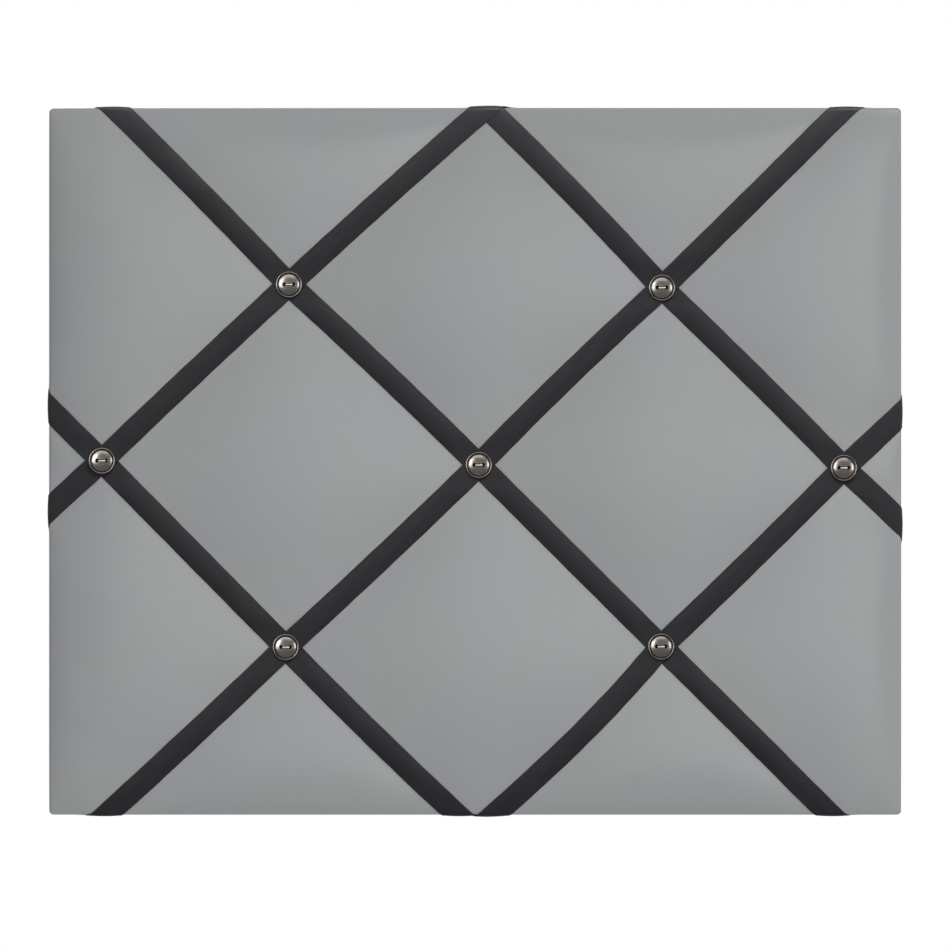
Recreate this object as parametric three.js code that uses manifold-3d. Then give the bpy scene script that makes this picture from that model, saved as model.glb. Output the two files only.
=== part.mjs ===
// French memo board, in millimetres: a tufted, cloth-covered pad on a base board, crossed by a lattice of
// six ribbons that seven sewn buttons hold down, with a back panel and two swinging D-ring hangers.
// +Z is up and the front faces -Y. The origin is the middle of the back panel's rear face.
// Depth is measured forwards from that face, so y is minus the depth.

import * as THREE from 'three';
import { mergeVertices } from 'three/addons/utils/BufferGeometryUtils.js';
import Module from 'manifold-3d';

const wasm = await Module();
wasm.setup();

// Covered board, cloth to cloth
const BOARD_WIDTH = 481;
const BOARD_HEIGHT = 399;
const CORNER_RADIUS = 2.5;
const CORNER_SPREAD = 0.6; // growth of the corner radius per millimetre in from the edge
const EDGE_ROLL = 28; // from the edge to where the pad has its full height
const EDGE_SIDE = 1.3; // upright side of the pad behind the roll
const BACK_BEVEL = 0.6; // soft corner where the cloth turns behind the board

// Layers
const PANEL_THICKNESS = 2;
const PANEL_INSET = 4; // back panel's edge inside the covered edge
const PANEL_CORNER = 4;
const BASE_THICKNESS = 6;
const PAD_THICKNESS = 10;
const CLOTH_THICKNESS = 0.5;
const TURN_UNDER = 22; // cloth margin behind the base board
const MITRE_SLIT = 0.8; // slit between the folded cloth corners
const FIT_GAP = 0.3; // clearance between pieces that lie on each other

// Ribbon lattice
const SIDE_MARGIN = 30.5; // outermost buttons to the side edges
const MEETING_REACH = 4.5; // how far past the top and bottom edges the outer ribbons meet, before the drop
const LATTICE_DROP = 2.5; // middle of the lattice below the middle of the board
const RIBBON_WIDTH = 13;
const RIBBON_THICKNESS = 0.4;
const RIBBON_TAIL = 10; // ribbon end behind the board, square to the edge
const CROSSED_TAIL = 15.5; // the same where two ribbons cross on the edge, which part before their staples
const TUFT_DEPTH = 4.6; // from the pad's crest to the cloth under a button, or under a ribbon at the edge
const CHANNEL_RISE = 2; // how far a channel's floor rises between two buttons
const CHANNEL_MARGIN = 1; // flat floor on each side of the ribbon
const OVERLAP_MARGIN = 2; // how far past a falling ribbon's edges a rising one stays lifted
const OVERLAP_RAMP = 2.5; // how far past that it is down on the cloth again

// Buttons and their threads
const BUTTON_DIAMETER = 15;
const BUTTON_HEIGHT = 3;
const RIM_ROUND = 0.9; // radius of the rounded rim
const GROOVE_FLOOR = 1; // height of the groove between rim and dome
const EYE_LENGTH = 6.4;
const EYE_WIDTH = 2.9;
const EYE_DEPTH = 1.1;
const STITCH_SPACING = 4.8; // between a button's two holes
const THREAD_DIAMETER = 1;
const THREAD_BEND = 0.9; // radius of the thread's turns

// Staples
const STAPLE_CROWN = 10;
const STAPLE_WIRE = 0.6;
const STAPLE_LEG = 6;
const STAPLE_SETBACK = 4; // from the ribbon's end, square to the edge

// Hangers
const HANGER_SPREAD = 300; // between the two hangers
const HANGER_DROP = 50; // ring axis below the top edge
const STRAP_WIDTH = 10;
const STRAP_THICKNESS = 0.8;
const STRAP_ROLL_END = 32; // degrees past the half turn where the rolled strap stops
const RING_WIRE = 2.5;
const RING_WIDTH = 16; // between the middles of the ring's two legs
const RING_LEG = 4; // straight leg, from the bar to the round end
const RING_CORNER = 2.5;
const RUNNING_GAP = 0.3;
const SCREW_DIAMETER = 2.9;
const SCREW_LENGTH = 10;
const SCREW_TIP = 2;
const SCREW_HEAD = 5.6;
const SCREW_HEAD_HEIGHT = 1.9;
const SCREW_SLOT = 0.8;
const SCREW_SLOT_LENGTH = 3.4;

// Depths of the layers, from the back
const STAPLE_BACK = PANEL_THICKNESS + FIT_GAP;
const RIBBON_BACK = STAPLE_BACK + STAPLE_WIRE + FIT_GAP;
const COVER_BACK = RIBBON_BACK + RIBBON_THICKNESS + FIT_GAP;
const BASE_BACK = COVER_BACK + CLOTH_THICKNESS + FIT_GAP;
const PAD_BACK = BASE_BACK + BASE_THICKNESS + FIT_GAP;
const SKIN = CLOTH_THICKNESS + FIT_GAP; // from the outside of the cloth to what it covers
const CREST = PAD_BACK + PAD_THICKNESS + SKIN; // outside of the cloth at the top of a swelling
const ROLL_BACK = PAD_BACK + EDGE_SIDE; // where the rolled edge starts
const TUFT_FLOOR = CREST - TUFT_DEPTH;
const RIBBON_LAYER = RIBBON_THICKNESS + FIT_GAP;
const BUTTON_BACK = TUFT_FLOOR + FIT_GAP + 2 * RIBBON_LAYER;

// Lattice and stitch sizes that follow from the ones above
const PITCH_X = (BOARD_WIDTH / 2 - SIDE_MARGIN) / 2;
const PITCH_Z = (BOARD_HEIGHT / 2 + MEETING_REACH) / 2;
const SPAN = Math.hypot(PITCH_X, PITCH_Z); // along a ribbon between two crossings
const SPACING = 2 * PITCH_X * PITCH_Z / SPAN; // between neighbouring ribbons
const FLOOR_HALF = (RIBBON_WIDTH / 2 + CHANNEL_MARGIN) / SPACING; // half a channel's floor, in lattice steps
const OVERLAP_FLAT = RIBBON_WIDTH / 2 + OVERLAP_MARGIN;
const OVERLAP_END = OVERLAP_FLAT + OVERLAP_RAMP;
const STITCH_HOLE = THREAD_DIAMETER + 2 * FIT_GAP;

// A lattice place is written as [fall, rise]: the fall line and the rise line that meet there. Fall lines
// run down to the right and are numbered rightwards, rise lines run up to the right and are numbered upwards.
const CROSSINGS = {
  upper_left: [0, 1],
  upper_right: [1, 0],
  middle_left: [-1, 1],
  centre: [0, 0],
  middle_right: [1, -1],
  lower_left: [-1, 0],
  lower_right: [0, -1],
};

// Small slips of a lattice laid by hand, in x and z, at its crossings and just past the edges
const SLIPS = [
  { place: [0, 1], slip: [0, 0.2] },
  { place: [1, 0], slip: [0.4, -1.6] },
  { place: [-1, 1], slip: [-0.5, 2.8] },
  { place: [0, 0], slip: [2.1, 0.4] },
  { place: [1, -1], slip: [-2.1, -1.2] },
  { place: [-1, 0], slip: [-1.8, -0.3] },
  { place: [0, -1], slip: [-0.1, 0] },
  { place: [1, 1], slip: [6.5, -1.5] },
  { place: [-1, -1], slip: [-0.5, -2] },
  { place: [0, 2], slip: [4.8, 0] },
  { place: [0, -2], slip: [-3, 0] },
  { place: [-2, 0], slip: [-5.6, 0] },
  { place: [2, 0], slip: [0.2, 0] },
  { place: [-1, 2], slip: [0, 3.5] },
  { place: [-2, 1], slip: [0, 10] },
  { place: [1, -2], slip: [0, 0.6] },
  { place: [2, -1], slip: [0, -4.3] },
];

// Sideways slack of single spans, at the middle of the span
const BOWS = [
  { middle: [-1, -0.5], bow: -1.3 },
  { middle: [0, 1.5], bow: 0.8 },
  { middle: [0, 0.5], bow: 1.2 },
  { middle: [0, -1.5], bow: 0.4 },
  { middle: [1, 0.5], bow: 1.5 },
  { middle: [1, -0.5], bow: 1 },
  { middle: [-0.5, 1], bow: -0.5 },
  { middle: [0.5, 1], bow: -0.8 },
  { middle: [-1.5, 0], bow: 0.8 },
  { middle: [-0.5, 0], bow: 0.9 },
  { middle: [0.5, 0], bow: -1.7 },
  { middle: [1.5, 0], bow: 0.4 },
  { middle: [-0.5, -1], bow: 4.9 },
  { middle: [0.5, -1], bow: 0.9 },
];

// Ribbons: the line that each lies on, the edges that its left and right ends wrap, and their tails
const RIBBONS = {
  ribbon_fall_left: { fall: -1, edges: ['left', 'bottom'], tails: [RIBBON_TAIL, CROSSED_TAIL] },
  ribbon_fall_centre: { fall: 0, edges: ['top', 'bottom'], tails: [RIBBON_TAIL, RIBBON_TAIL] },
  ribbon_fall_right: { fall: 1, edges: ['top', 'right'], tails: [CROSSED_TAIL, RIBBON_TAIL] },
  ribbon_rise_left: { rise: 1, edges: ['left', 'top'], tails: [RIBBON_TAIL, CROSSED_TAIL] },
  ribbon_rise_centre: { rise: 0, edges: ['bottom', 'top'], tails: [RIBBON_TAIL, RIBBON_TAIL] },
  ribbon_rise_right: { rise: -1, edges: ['bottom', 'right'], tails: [CROSSED_TAIL, RIBBON_TAIL] },
};
const RIBBON_LINES = [-1, 0, 1];

// The four edges in plan: the way out of the board, the way along the edge, and the distance to the edge
const EDGES = {
  top: { out: new THREE.Vector2(0, 1), along: new THREE.Vector2(1, 0), half: BOARD_HEIGHT / 2 },
  bottom: { out: new THREE.Vector2(0, -1), along: new THREE.Vector2(1, 0), half: BOARD_HEIGHT / 2 },
  left: { out: new THREE.Vector2(-1, 0), along: new THREE.Vector2(0, 1), half: BOARD_WIDTH / 2 },
  right: { out: new THREE.Vector2(1, 0), along: new THREE.Vector2(0, 1), half: BOARD_WIDTH / 2 },
};

// Facet lines of the quilted front, as shares of the way from one ribbon to the next, and past the outer ones
const QUILT_STEPS = [0.2, 0.5, 0.8];
const OUTER_STEPS = [0.2, 0.5, 1.6];

// Steps of the rolled edge on the stretch that a ribbon lies on, and of a ribbon's tail, as shares of each
const ROLL_STEPS = [0, 0.5, 1];
const TAIL_STEPS = [1 / 3, 2 / 3, 1];

// Rows of a ribbon before the rolled edge, parallel to it, by their distance to the roll
const EDGE_APPROACH = [8, 4];

// Facets round each round piece
const BUTTON_SIDES = 20;
const EYE_SIDES = 10;
const THREAD_SIDES = 6;
const RING_SIDES = 8;
const SCREW_SIDES = 12;
const NEEDLE_SIDES = 6;

const WELD = 1e-4; // distance at which two vertices are one
const SMALL_STEP = 1e-3; // lattice step that gives a ribbon's direction

const MATERIALS = {
  cloth: new THREE.MeshStandardMaterial({ color: 0x9c9d9e, roughness: 0.9 }),
  ribbon: new THREE.MeshStandardMaterial({ color: 0x37373a, roughness: 0.5 }),
  button: new THREE.MeshStandardMaterial({ color: 0x8f8a84, roughness: 0.35, metalness: 1 }),
  thread: new THREE.MeshStandardMaterial({ color: 0xdcd8d2, roughness: 0.7 }),
  foam: new THREE.MeshStandardMaterial({ color: 0xe9e6dc, roughness: 1 }),
  fibreboard: new THREE.MeshStandardMaterial({ color: 0x9a7b58, roughness: 0.85 }),
  card: new THREE.MeshStandardMaterial({ color: 0x6f6a63, roughness: 0.9 }),
  nickel: new THREE.MeshStandardMaterial({ color: 0xb9b7b2, roughness: 0.3, metalness: 1 }),
  steel: new THREE.MeshStandardMaterial({ color: 0xa8a8a6, roughness: 0.4, metalness: 1 }),
};

// Solids

// A welded copy with no flat triangles, facing outwards
function closed(geometry) {
  const bare = geometry.clone();
  bare.deleteAttribute('normal');
  bare.deleteAttribute('uv');
  const welded = mergeVertices(bare, WELD);
  const place = welded.attributes.position;
  const corner = [new THREE.Vector3(), new THREE.Vector3(), new THREE.Vector3()];
  const triangles = [];
  let volume = 0;
  for (let i = 0; i < welded.index.count; i += 3) {
    const ids = [0, 1, 2].map((k) => welded.index.getX(i + k));
    if (new Set(ids).size < 3) continue;
    ids.forEach((id, k) => corner[k].fromBufferAttribute(place, id));
    volume += corner[0].dot(corner[1].clone().cross(corner[2]));
    triangles.push(ids);
  }
  const order = volume < 0 ? [0, 2, 1] : [0, 1, 2];
  welded.setIndex(triangles.flatMap((ids) => order.map((k) => ids[k])));
  return welded;
}

function solid(geometry) {
  const ready = closed(geometry);
  return new wasm.Manifold(new wasm.Mesh({
    numProp: 3,
    vertProperties: new Float32Array(ready.attributes.position.array),
    triVerts: new Uint32Array(ready.index.array),
  }));
}

function geometryOf(body) {
  const mesh = body.getMesh();
  const geometry = new THREE.BufferGeometry();
  geometry.setAttribute('position', new THREE.BufferAttribute(mesh.vertProperties, 3));
  geometry.setIndex(new THREE.BufferAttribute(mesh.triVerts, 1));
  return geometry;
}

function joined(bodies) {
  return bodies.reduce((whole, body) => whole.add(body));
}

// Skin over a row of rings with as many points each: a tube with two end caps, or a loop
function loft(rings, isLoop = false) {
  const sides = rings[0].length;
  const points = rings.flat();
  const faces = [];
  const spans = isLoop ? rings.length : rings.length - 1;
  for (let i = 0; i < spans; i += 1) {
    const here = i * sides;
    const next = ((i + 1) % rings.length) * sides;
    for (let j = 0; j < sides; j += 1) {
      const k = (j + 1) % sides;
      faces.push(here + j, here + k, next + k, here + j, next + k, next + j);
    }
  }
  if (!isLoop) {
    for (const [ring, turned] of [[0, true], [rings.length - 1, false]]) {
      const middle = points.length;
      points.push(rings[ring].reduce((sum, p) => sum.add(p), new THREE.Vector3()).divideScalar(sides));
      for (let j = 0; j < sides; j += 1) {
        const a = ring * sides + j;
        const b = ring * sides + (j + 1) % sides;
        faces.push(middle, turned ? b : a, turned ? a : b);
      }
    }
  }
  const geometry = new THREE.BufferGeometry().setFromPoints(points);
  geometry.setIndex(faces);
  return closed(geometry);
}

function at(plan, depth) {
  return new THREE.Vector3(plan.x, -depth, plan.y);
}

function roundedRectangle(width, height, radius) {
  const shape = new THREE.Shape();
  const x = width / 2 - radius;
  const y = height / 2 - radius;
  shape.moveTo(x + radius, -y);
  shape.absarc(x, y, radius, 0, Math.PI / 2);
  shape.absarc(-x, y, radius, Math.PI / 2, Math.PI);
  shape.absarc(-x, -y, radius, Math.PI, Math.PI * 1.5);
  shape.absarc(x, -y, radius, Math.PI * 1.5, Math.PI * 2);
  return shape;
}

// Plate with its outline in plan, from one depth to a greater one
function plate(shape, backDepth, frontDepth, curveSegments = 4) {
  const geometry = new THREE.ExtrudeGeometry(shape, {
    depth: frontDepth - backDepth,
    bevelEnabled: false,
    curveSegments,
  });
  geometry.rotateX(Math.PI / 2);
  geometry.translate(0, -backDepth, 0);
  return geometry;
}

// Round pin along the depth
function pin(plan, diameter, backDepth, frontDepth, sides) {
  const geometry = new THREE.CylinderGeometry(diameter / 2, diameter / 2, frontDepth - backDepth, sides);
  geometry.translate(plan.x, -(backDepth + frontDepth) / 2, plan.y);
  return geometry;
}

// Lattice

function bowShift([fall, rise], { middle, bow }) {
  const alongRise = Number.isInteger(middle[0]);
  const along = alongRise ? rise - middle[1] : fall - middle[0];
  const across = alongRise ? fall - middle[0] : rise - middle[1];
  return bow * Math.max(0, 1 - 4 * along ** 2) * Math.max(0, 1 - Math.abs(across));
}

// Plan point of a lattice place, whole or in between
function latticePoint(place) {
  const [fall, rise] = place;
  const point = new THREE.Vector2((fall - rise) * PITCH_X, (fall + rise) * PITCH_Z - LATTICE_DROP);
  for (const { place: [atFall, atRise], slip } of SLIPS) {
    const weight = Math.max(0, 1 - Math.abs(fall - atFall)) * Math.max(0, 1 - Math.abs(rise - atRise));
    point.x += slip[0] * weight;
    point.y += slip[1] * weight;
  }
  for (const bow of BOWS) point.x += bowShift(place, bow);
  return point;
}

function crossingPoint(name) {
  return latticePoint(CROSSINGS[name]);
}

// Share of the way from the flat floor under a ribbon to the middle between two ribbons
function swell(line) {
  const nearest = Math.min(...RIBBON_LINES.map((ribbon) => Math.abs(line - ribbon)));
  const share = THREE.MathUtils.clamp((nearest - FLOOR_HALF) / (0.5 - FLOOR_HALF), 0, 1);
  return 1 - (1 - share) ** 2;
}

// Depth of the outside of the cloth: tufts at the crossings, channels along the ribbons, swellings between
function quiltDepth(place) {
  const point = latticePoint(place);
  const inset = Math.min(BOARD_WIDTH / 2 - Math.abs(point.x), BOARD_HEIGHT / 2 - Math.abs(point.y));
  const nearEdge = THREE.MathUtils.clamp(inset / EDGE_ROLL, 0, 1);
  const rise = Math.max(...place.map((line) => Math.sin(Math.PI * line) ** 2));
  const floor = TUFT_FLOOR + CHANNEL_RISE * rise * nearEdge;
  return floor + (CREST - FIT_GAP - floor) * swell(place[0]) * swell(place[1]);
}

// Lines of the quilt's facets: along both edges of each channel floor, and over the swellings
function quiltLines() {
  const inner = [-1, 0].flatMap((line) => QUILT_STEPS.map((step) => line + step));
  const floors = RIBBON_LINES.flatMap((line) => [line - FLOOR_HALF, line + FLOOR_HALF]);
  const outer = OUTER_STEPS.flatMap((step) => [1 + step, -1 - step]);
  return [...inner, ...floors, ...outer].sort((a, b) => a - b);
}

// Thick blanket with the quilted front, wider than the board
function blanket() {
  const lines = quiltLines();
  const size = lines.length;
  const points = [];
  for (const level of [(place) => quiltDepth(place), () => -CREST]) {
    for (const fall of lines) {
      for (const rise of lines) points.push(at(latticePoint([fall, rise]), level([fall, rise])));
    }
  }
  const faces = [];
  const quad = (a, b, c, d) => faces.push(a, b, c, a, c, d);
  const back = size * size;
  for (let i = 0; i + 1 < size; i += 1) {
    for (let j = 0; j + 1 < size; j += 1) {
      const corner = i * size + j;
      quad(corner, corner + size, corner + size + 1, corner + 1);
      quad(back + corner, back + corner + 1, back + corner + size + 1, back + corner + size);
    }
    for (const [here, next] of [[i, i + 1], [back - i - 1, back - i - 2]]) {
      quad(here, next, back + next, back + here);
    }
    for (const [here, next] of [[(i + 1) * size, i * size], [i * size + size - 1, (i + 2) * size - 1]]) {
      quad(here, next, back + next, back + here);
    }
  }
  const geometry = new THREE.BufferGeometry().setFromPoints(points);
  geometry.setIndex(faces);
  return geometry;
}

// Angle on the rolled edge, from its back, at which the ribbons leave the front
const ROLL_TURN = Math.asin((TUFT_FLOOR - ROLL_BACK) / (CREST - ROLL_BACK));

// Point on the rolled edge, for a skin that lies the given offset under the outside of the cloth
function rollPoint(angle, offset = 0) {
  return {
    inset: offset + (EDGE_ROLL - offset) * (1 - Math.cos(angle)),
    depth: ROLL_BACK + (CREST - ROLL_BACK - offset) * Math.sin(angle),
  };
}

// Pad and cover

// Block with rolled front edges, for a skin that lies the given offset under the outside of the cloth
function rolledBlock(offset, backDepth, bevel) {
  const low = ROLL_STEPS.map((f) => rollPoint(ROLL_TURN * f, offset));
  const high = ROLL_STEPS.slice(1).map((f) => {
    return rollPoint(THREE.MathUtils.lerp(ROLL_TURN, Math.PI / 2, f), offset);
  });
  const profile = [{ inset: offset + bevel, depth: backDepth }, ...low, ...high];
  if (bevel > 0) profile.splice(1, 0, { inset: offset, depth: backDepth + bevel });
  const rings = profile.map(({ inset, depth }) => {
    const radius = CORNER_RADIUS - offset + (inset - offset) * CORNER_SPREAD;
    const shape = roundedRectangle(BOARD_WIDTH - 2 * inset, BOARD_HEIGHT - 2 * inset, radius);
    return shape.getPoints(1).map((p) => at(p, depth));
  });
  return solid(loft(rings));
}

const quilt = solid(blanket());

function quilted(offset, backDepth, bevel = 0) {
  return rolledBlock(offset, backDepth, bevel).intersect(quilt.translate([0, offset, 0]));
}

// Passages for the two legs of each thread, through all that lies under the buttons
const stitchPoints = Object.keys(CROSSINGS).flatMap((name) => {
  const half = new THREE.Vector2(STITCH_SPACING / 2, 0);
  return [crossingPoint(name).sub(half), crossingPoint(name).add(half)];
});
const needleHoles = joined(stitchPoints.map((plan) => {
  return solid(new THREE.BoxGeometry(STITCH_HOLE, 2 * CREST, STITCH_HOLE).translate(plan.x, -CREST, plan.y));
}));

function coverGeometry(stapleHoles) {
  const inside = quilted(CLOTH_THICKNESS, COVER_BACK + CLOTH_THICKNESS);
  const window = roundedRectangle(BOARD_WIDTH - 2 * TURN_UNDER, BOARD_HEIGHT - 2 * TURN_UNDER, CORNER_RADIUS);
  const opening = solid(plate(window, 0, PAD_BACK, 1));
  const slits = [[-1, -1], [-1, 1], [1, -1], [1, 1]].map(([x, z]) => {
    const length = 2 * TURN_UNDER * Math.SQRT1_2;
    const slit = new THREE.BoxGeometry(length, 2 * (BASE_BACK - COVER_BACK), MITRE_SLIT);
    slit.rotateY(-Math.PI / 4 * x * z);
    const reach = TURN_UNDER;
    return solid(slit.translate(x * (BOARD_WIDTH / 2 - reach), -COVER_BACK, z * (BOARD_HEIGHT / 2 - reach)));
  });
  const shell = quilted(0, COVER_BACK, BACK_BEVEL).subtract(inside).subtract(opening);
  return geometryOf(shell.subtract(joined(slits)).subtract(needleHoles).subtract(stapleHoles));
}

function padGeometry() {
  return geometryOf(quilted(SKIN, PAD_BACK).subtract(needleHoles));
}

// Ribbons

// Lattice place on a ribbon, with its run counted along it from left to right
function ribbonPlace({ fall, rise }, run) {
  return rise === undefined ? [fall, -run] : [run, rise];
}

function ribbonPoint(ribbon, run) {
  const before = latticePoint(ribbonPlace(ribbon, run - SMALL_STEP));
  const after = latticePoint(ribbonPlace(ribbon, run + SMALL_STEP));
  return { plan: latticePoint(ribbonPlace(ribbon, run)), heading: after.sub(before).normalize() };
}

// Run at which a ribbon's left or right end, 0 or 1, reaches the rolled edge, found by halving
function edgeRun(ribbon, end) {
  const edge = EDGES[ribbon.edges[end]];
  const limit = edge.half - rollPoint(ROLL_TURN).inset;
  let inside = 0;
  let outside = (end === 0 ? -1 : 1) * (RIBBON_LINES.length + 1);
  while (Math.abs(outside - inside) * SPAN > WELD) {
    const middle = (inside + outside) / 2;
    if (latticePoint(ribbonPlace(ribbon, middle)).dot(edge.out) < limit) inside = middle;
    else outside = middle;
  }
  return inside;
}

// Depth of the cloth under a ribbon, straight from one facet line to the next as the quilt is
function ribbonFloor(ribbon, run, lines) {
  const after = lines.findIndex((line) => line > run);
  const [low, high] = [lines[after - 1], lines[after]];
  const depths = [low, high].map((line) => quiltDepth(ribbonPlace(ribbon, line)));
  return THREE.MathUtils.mapLinear(run, low, high, ...depths);
}

// Edge profile that a ribbon follows: from the front down the roll and the side, and in over the back
function edgeProfile(tail) {
  const roll = ROLL_STEPS.map((f) => rollPoint(ROLL_TURN * f)).reverse();
  return [
    ...EDGE_APPROACH.map((inset) => ({ inset: roll[0].inset + inset, depth: TUFT_FLOOR })),
    ...roll,
    { inset: 0, depth: (ROLL_BACK + COVER_BACK + BACK_BEVEL) / 2 },
    { inset: 0, depth: COVER_BACK + BACK_BEVEL },
    { inset: BACK_BEVEL, depth: COVER_BACK },
    ...TAIL_STEPS.map((f) => ({ inset: tail * f, depth: COVER_BACK })),
  ];
}

// Outward directions at the points of a profile, long enough that a parallel line keeps its distance
function profileNormals(profile) {
  const normals = profile.slice(1).map((p, i) => {
    const step = new THREE.Vector2(p.inset - profile[i].inset, p.depth - profile[i].depth).normalize();
    return new THREE.Vector2(step.y, -step.x);
  });
  return profile.map((_, i) => {
    const before = normals[Math.max(0, i - 1)];
    const after = normals[Math.min(normals.length - 1, i)];
    const middle = before.clone().add(after).normalize();
    return middle.divideScalar(middle.dot(after));
  });
}

// Rows of a ribbon round one edge, all parallel to the edge. Each has its two edge points unfolded flat in
// plan, and a function that places them at a height over the cloth.
function edgeRows(ribbon, end) {
  const edge = EDGES[ribbon.edges[end]];
  const run = edgeRun(ribbon, end);
  const { plan, heading } = ribbonPoint(ribbon, run);
  heading.multiplyScalar(1 / heading.dot(edge.out));
  const half = RIBBON_WIDTH / 2 * heading.length();
  const profile = edgeProfile(ribbon.tails[end]);
  const normals = profileNormals(profile);
  const lines = quiltLines();
  let distance = -EDGE_APPROACH[0];
  return profile.map((p, i) => {
    if (i > 0) distance += Math.hypot(p.inset - profile[i - 1].inset, p.depth - profile[i - 1].depth);
    const onFront = i < EDGE_APPROACH.length;
    const onwards = (end === 0 ? -distance : distance) * heading.length() / SPAN;
    const depth = onFront ? ribbonFloor(ribbon, run + onwards, lines) : p.depth;
    const centre = plan.clone().addScaledVector(heading, distance);
    return {
      unfolded: [-half, half].map((s) => centre.clone().addScaledVector(edge.along, s)),
      place(side, height) {
        const out = edge.half - p.inset - normals[i].x * height;
        const along = this.unfolded[side].dot(edge.along);
        const where = edge.out.clone().multiplyScalar(out).addScaledVector(edge.along, along);
        return at(where, depth + normals[i].y * height);
      },
    };
  });
}

// Rows square to a ribbon on the front, at the facet lines of the quilt and round the crossings
function frontRows(ribbon) {
  const lines = quiltLines();
  const room = (EDGE_APPROACH[0] + RIBBON_WIDTH / 2) * Math.SQRT2 / SPAN;
  const [from, to] = [edgeRun(ribbon, 0) + room, edgeRun(ribbon, 1) - room];
  const around = [OVERLAP_FLAT, OVERLAP_END].flatMap((d) => [-d / SPAN, d / SPAN]);
  const extra = ribbon.rise === undefined ? [] : RIBBON_LINES.flatMap((line) => around.map((d) => line + d));
  const runs = [...lines, ...extra].filter((run) => run > from && run < to).sort((a, b) => a - b);
  return runs.map((run) => {
    const { plan, heading } = ribbonPoint(ribbon, run);
    const across = new THREE.Vector2(-heading.y, heading.x).multiplyScalar(RIBBON_WIDTH / 2);
    const depth = ribbonFloor(ribbon, run, lines);
    return {
      unfolded: [plan.clone().sub(across), plan.clone().add(across)],
      place(side, height) {
        return at(this.unfolded[side], depth + height);
      },
    };
  });
}

// Whole centreline of a ribbon, unfolded flat in plan past both edges
function unfoldedLine(ribbon) {
  const reach = 2 * (EDGE_ROLL + CREST + CROSSED_TAIL);
  const [from, to] = [edgeRun(ribbon, 0), edgeRun(ribbon, 1)];
  const inside = quiltLines().filter((run) => run > from && run < to);
  const points = [from, ...inside, to].map((run) => ribbonPoint(ribbon, run));
  const [first, last] = [points[0], points.at(-1)];
  const before = first.plan.clone().addScaledVector(first.heading, -reach);
  const after = last.plan.clone().addScaledVector(last.heading, reach);
  return [before, ...points.map(({ plan }) => plan), after];
}

function distanceToLine(point, line) {
  let least = Infinity;
  for (let i = 1; i < line.length; i += 1) {
    const step = line[i].clone().sub(line[i - 1]);
    const from = point.clone().sub(line[i - 1]);
    const share = THREE.MathUtils.clamp(from.dot(step) / step.lengthSq(), 0, 1);
    least = Math.min(least, from.addScaledVector(step, -share).length());
  }
  return least;
}

const fallLines = Object.values(RIBBONS).filter(({ rise }) => rise === undefined).map(unfoldedLine);

// Height of a row's underside over the cloth: rising ribbons step over falling ones
function rowLift(ribbon, [one, other]) {
  if (ribbon.rise === undefined) return FIT_GAP;
  const points = [0, 0.25, 0.5, 0.75, 1].map((share) => one.clone().lerp(other, share));
  const nearest = Math.min(...points.flatMap((p) => fallLines.map((line) => distanceToLine(p, line))));
  return FIT_GAP + RIBBON_LAYER * (1 - THREE.MathUtils.smoothstep(nearest, OVERLAP_FLAT, OVERLAP_END));
}

// Four corners of a ribbon's section, with its lower edge first all along the ribbon
function ribbonRing(ribbon, row) {
  const lean = ribbon.rise === undefined ? -1 : 1;
  const [a, b] = row.unfolded;
  const sides = (b.y - a.y) - lean * (b.x - a.x) > 0 ? [0, 1] : [1, 0];
  const under = rowLift(ribbon, row.unfolded);
  return [
    row.place(sides[0], under),
    row.place(sides[1], under),
    row.place(sides[1], under + RIBBON_THICKNESS),
    row.place(sides[0], under + RIBBON_THICKNESS),
  ];
}

function ribbonGeometry(ribbon, stapleHoles) {
  const rows = [...edgeRows(ribbon, 0).reverse(), ...frontRows(ribbon), ...edgeRows(ribbon, 1)];
  const strip = solid(loft(rows.map((row) => ribbonRing(ribbon, row))));
  return geometryOf(strip.subtract(needleHoles).subtract(stapleHoles));
}

// Buttons and threads

// Button with its back on the plane y = 0 and its face towards -Y
function buttonGeometry() {
  const rimMiddle = BUTTON_DIAMETER / 2 - RIM_ROUND;
  const domeRadius = rimMiddle - RIM_ROUND * Math.SQRT1_2;
  const profile = new THREE.Path();
  profile.moveTo(0, 0);
  profile.lineTo(rimMiddle, 0);
  profile.absarc(rimMiddle, RIM_ROUND, RIM_ROUND, -Math.PI / 2, Math.PI * 0.75);
  profile.lineTo(domeRadius, GROOVE_FLOOR);
  profile.absellipse(0, GROOVE_FLOOR, domeRadius, BUTTON_HEIGHT - GROOVE_FLOOR, 0, Math.PI / 2);
  const points = profile.getPoints(2);
  points.at(-1).x = 0;
  const body = solid(new THREE.LatheGeometry(points, BUTTON_SIDES).rotateX(Math.PI));
  const eye = new THREE.SphereGeometry(1, EYE_SIDES, EYE_SIDES / 2);
  eye.scale(EYE_LENGTH / 2, EYE_DEPTH, EYE_WIDTH / 2);
  const holes = [-1, 1].map((way) => {
    const plan = new THREE.Vector2(way * STITCH_SPACING / 2, 0);
    return solid(pin(plan, STITCH_HOLE, -BUTTON_HEIGHT, 2 * BUTTON_HEIGHT, NEEDLE_SIDES));
  });
  return geometryOf(body.subtract(solid(eye.translate(0, -BUTTON_HEIGHT, 0))).subtract(joined(holes)));
}

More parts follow.
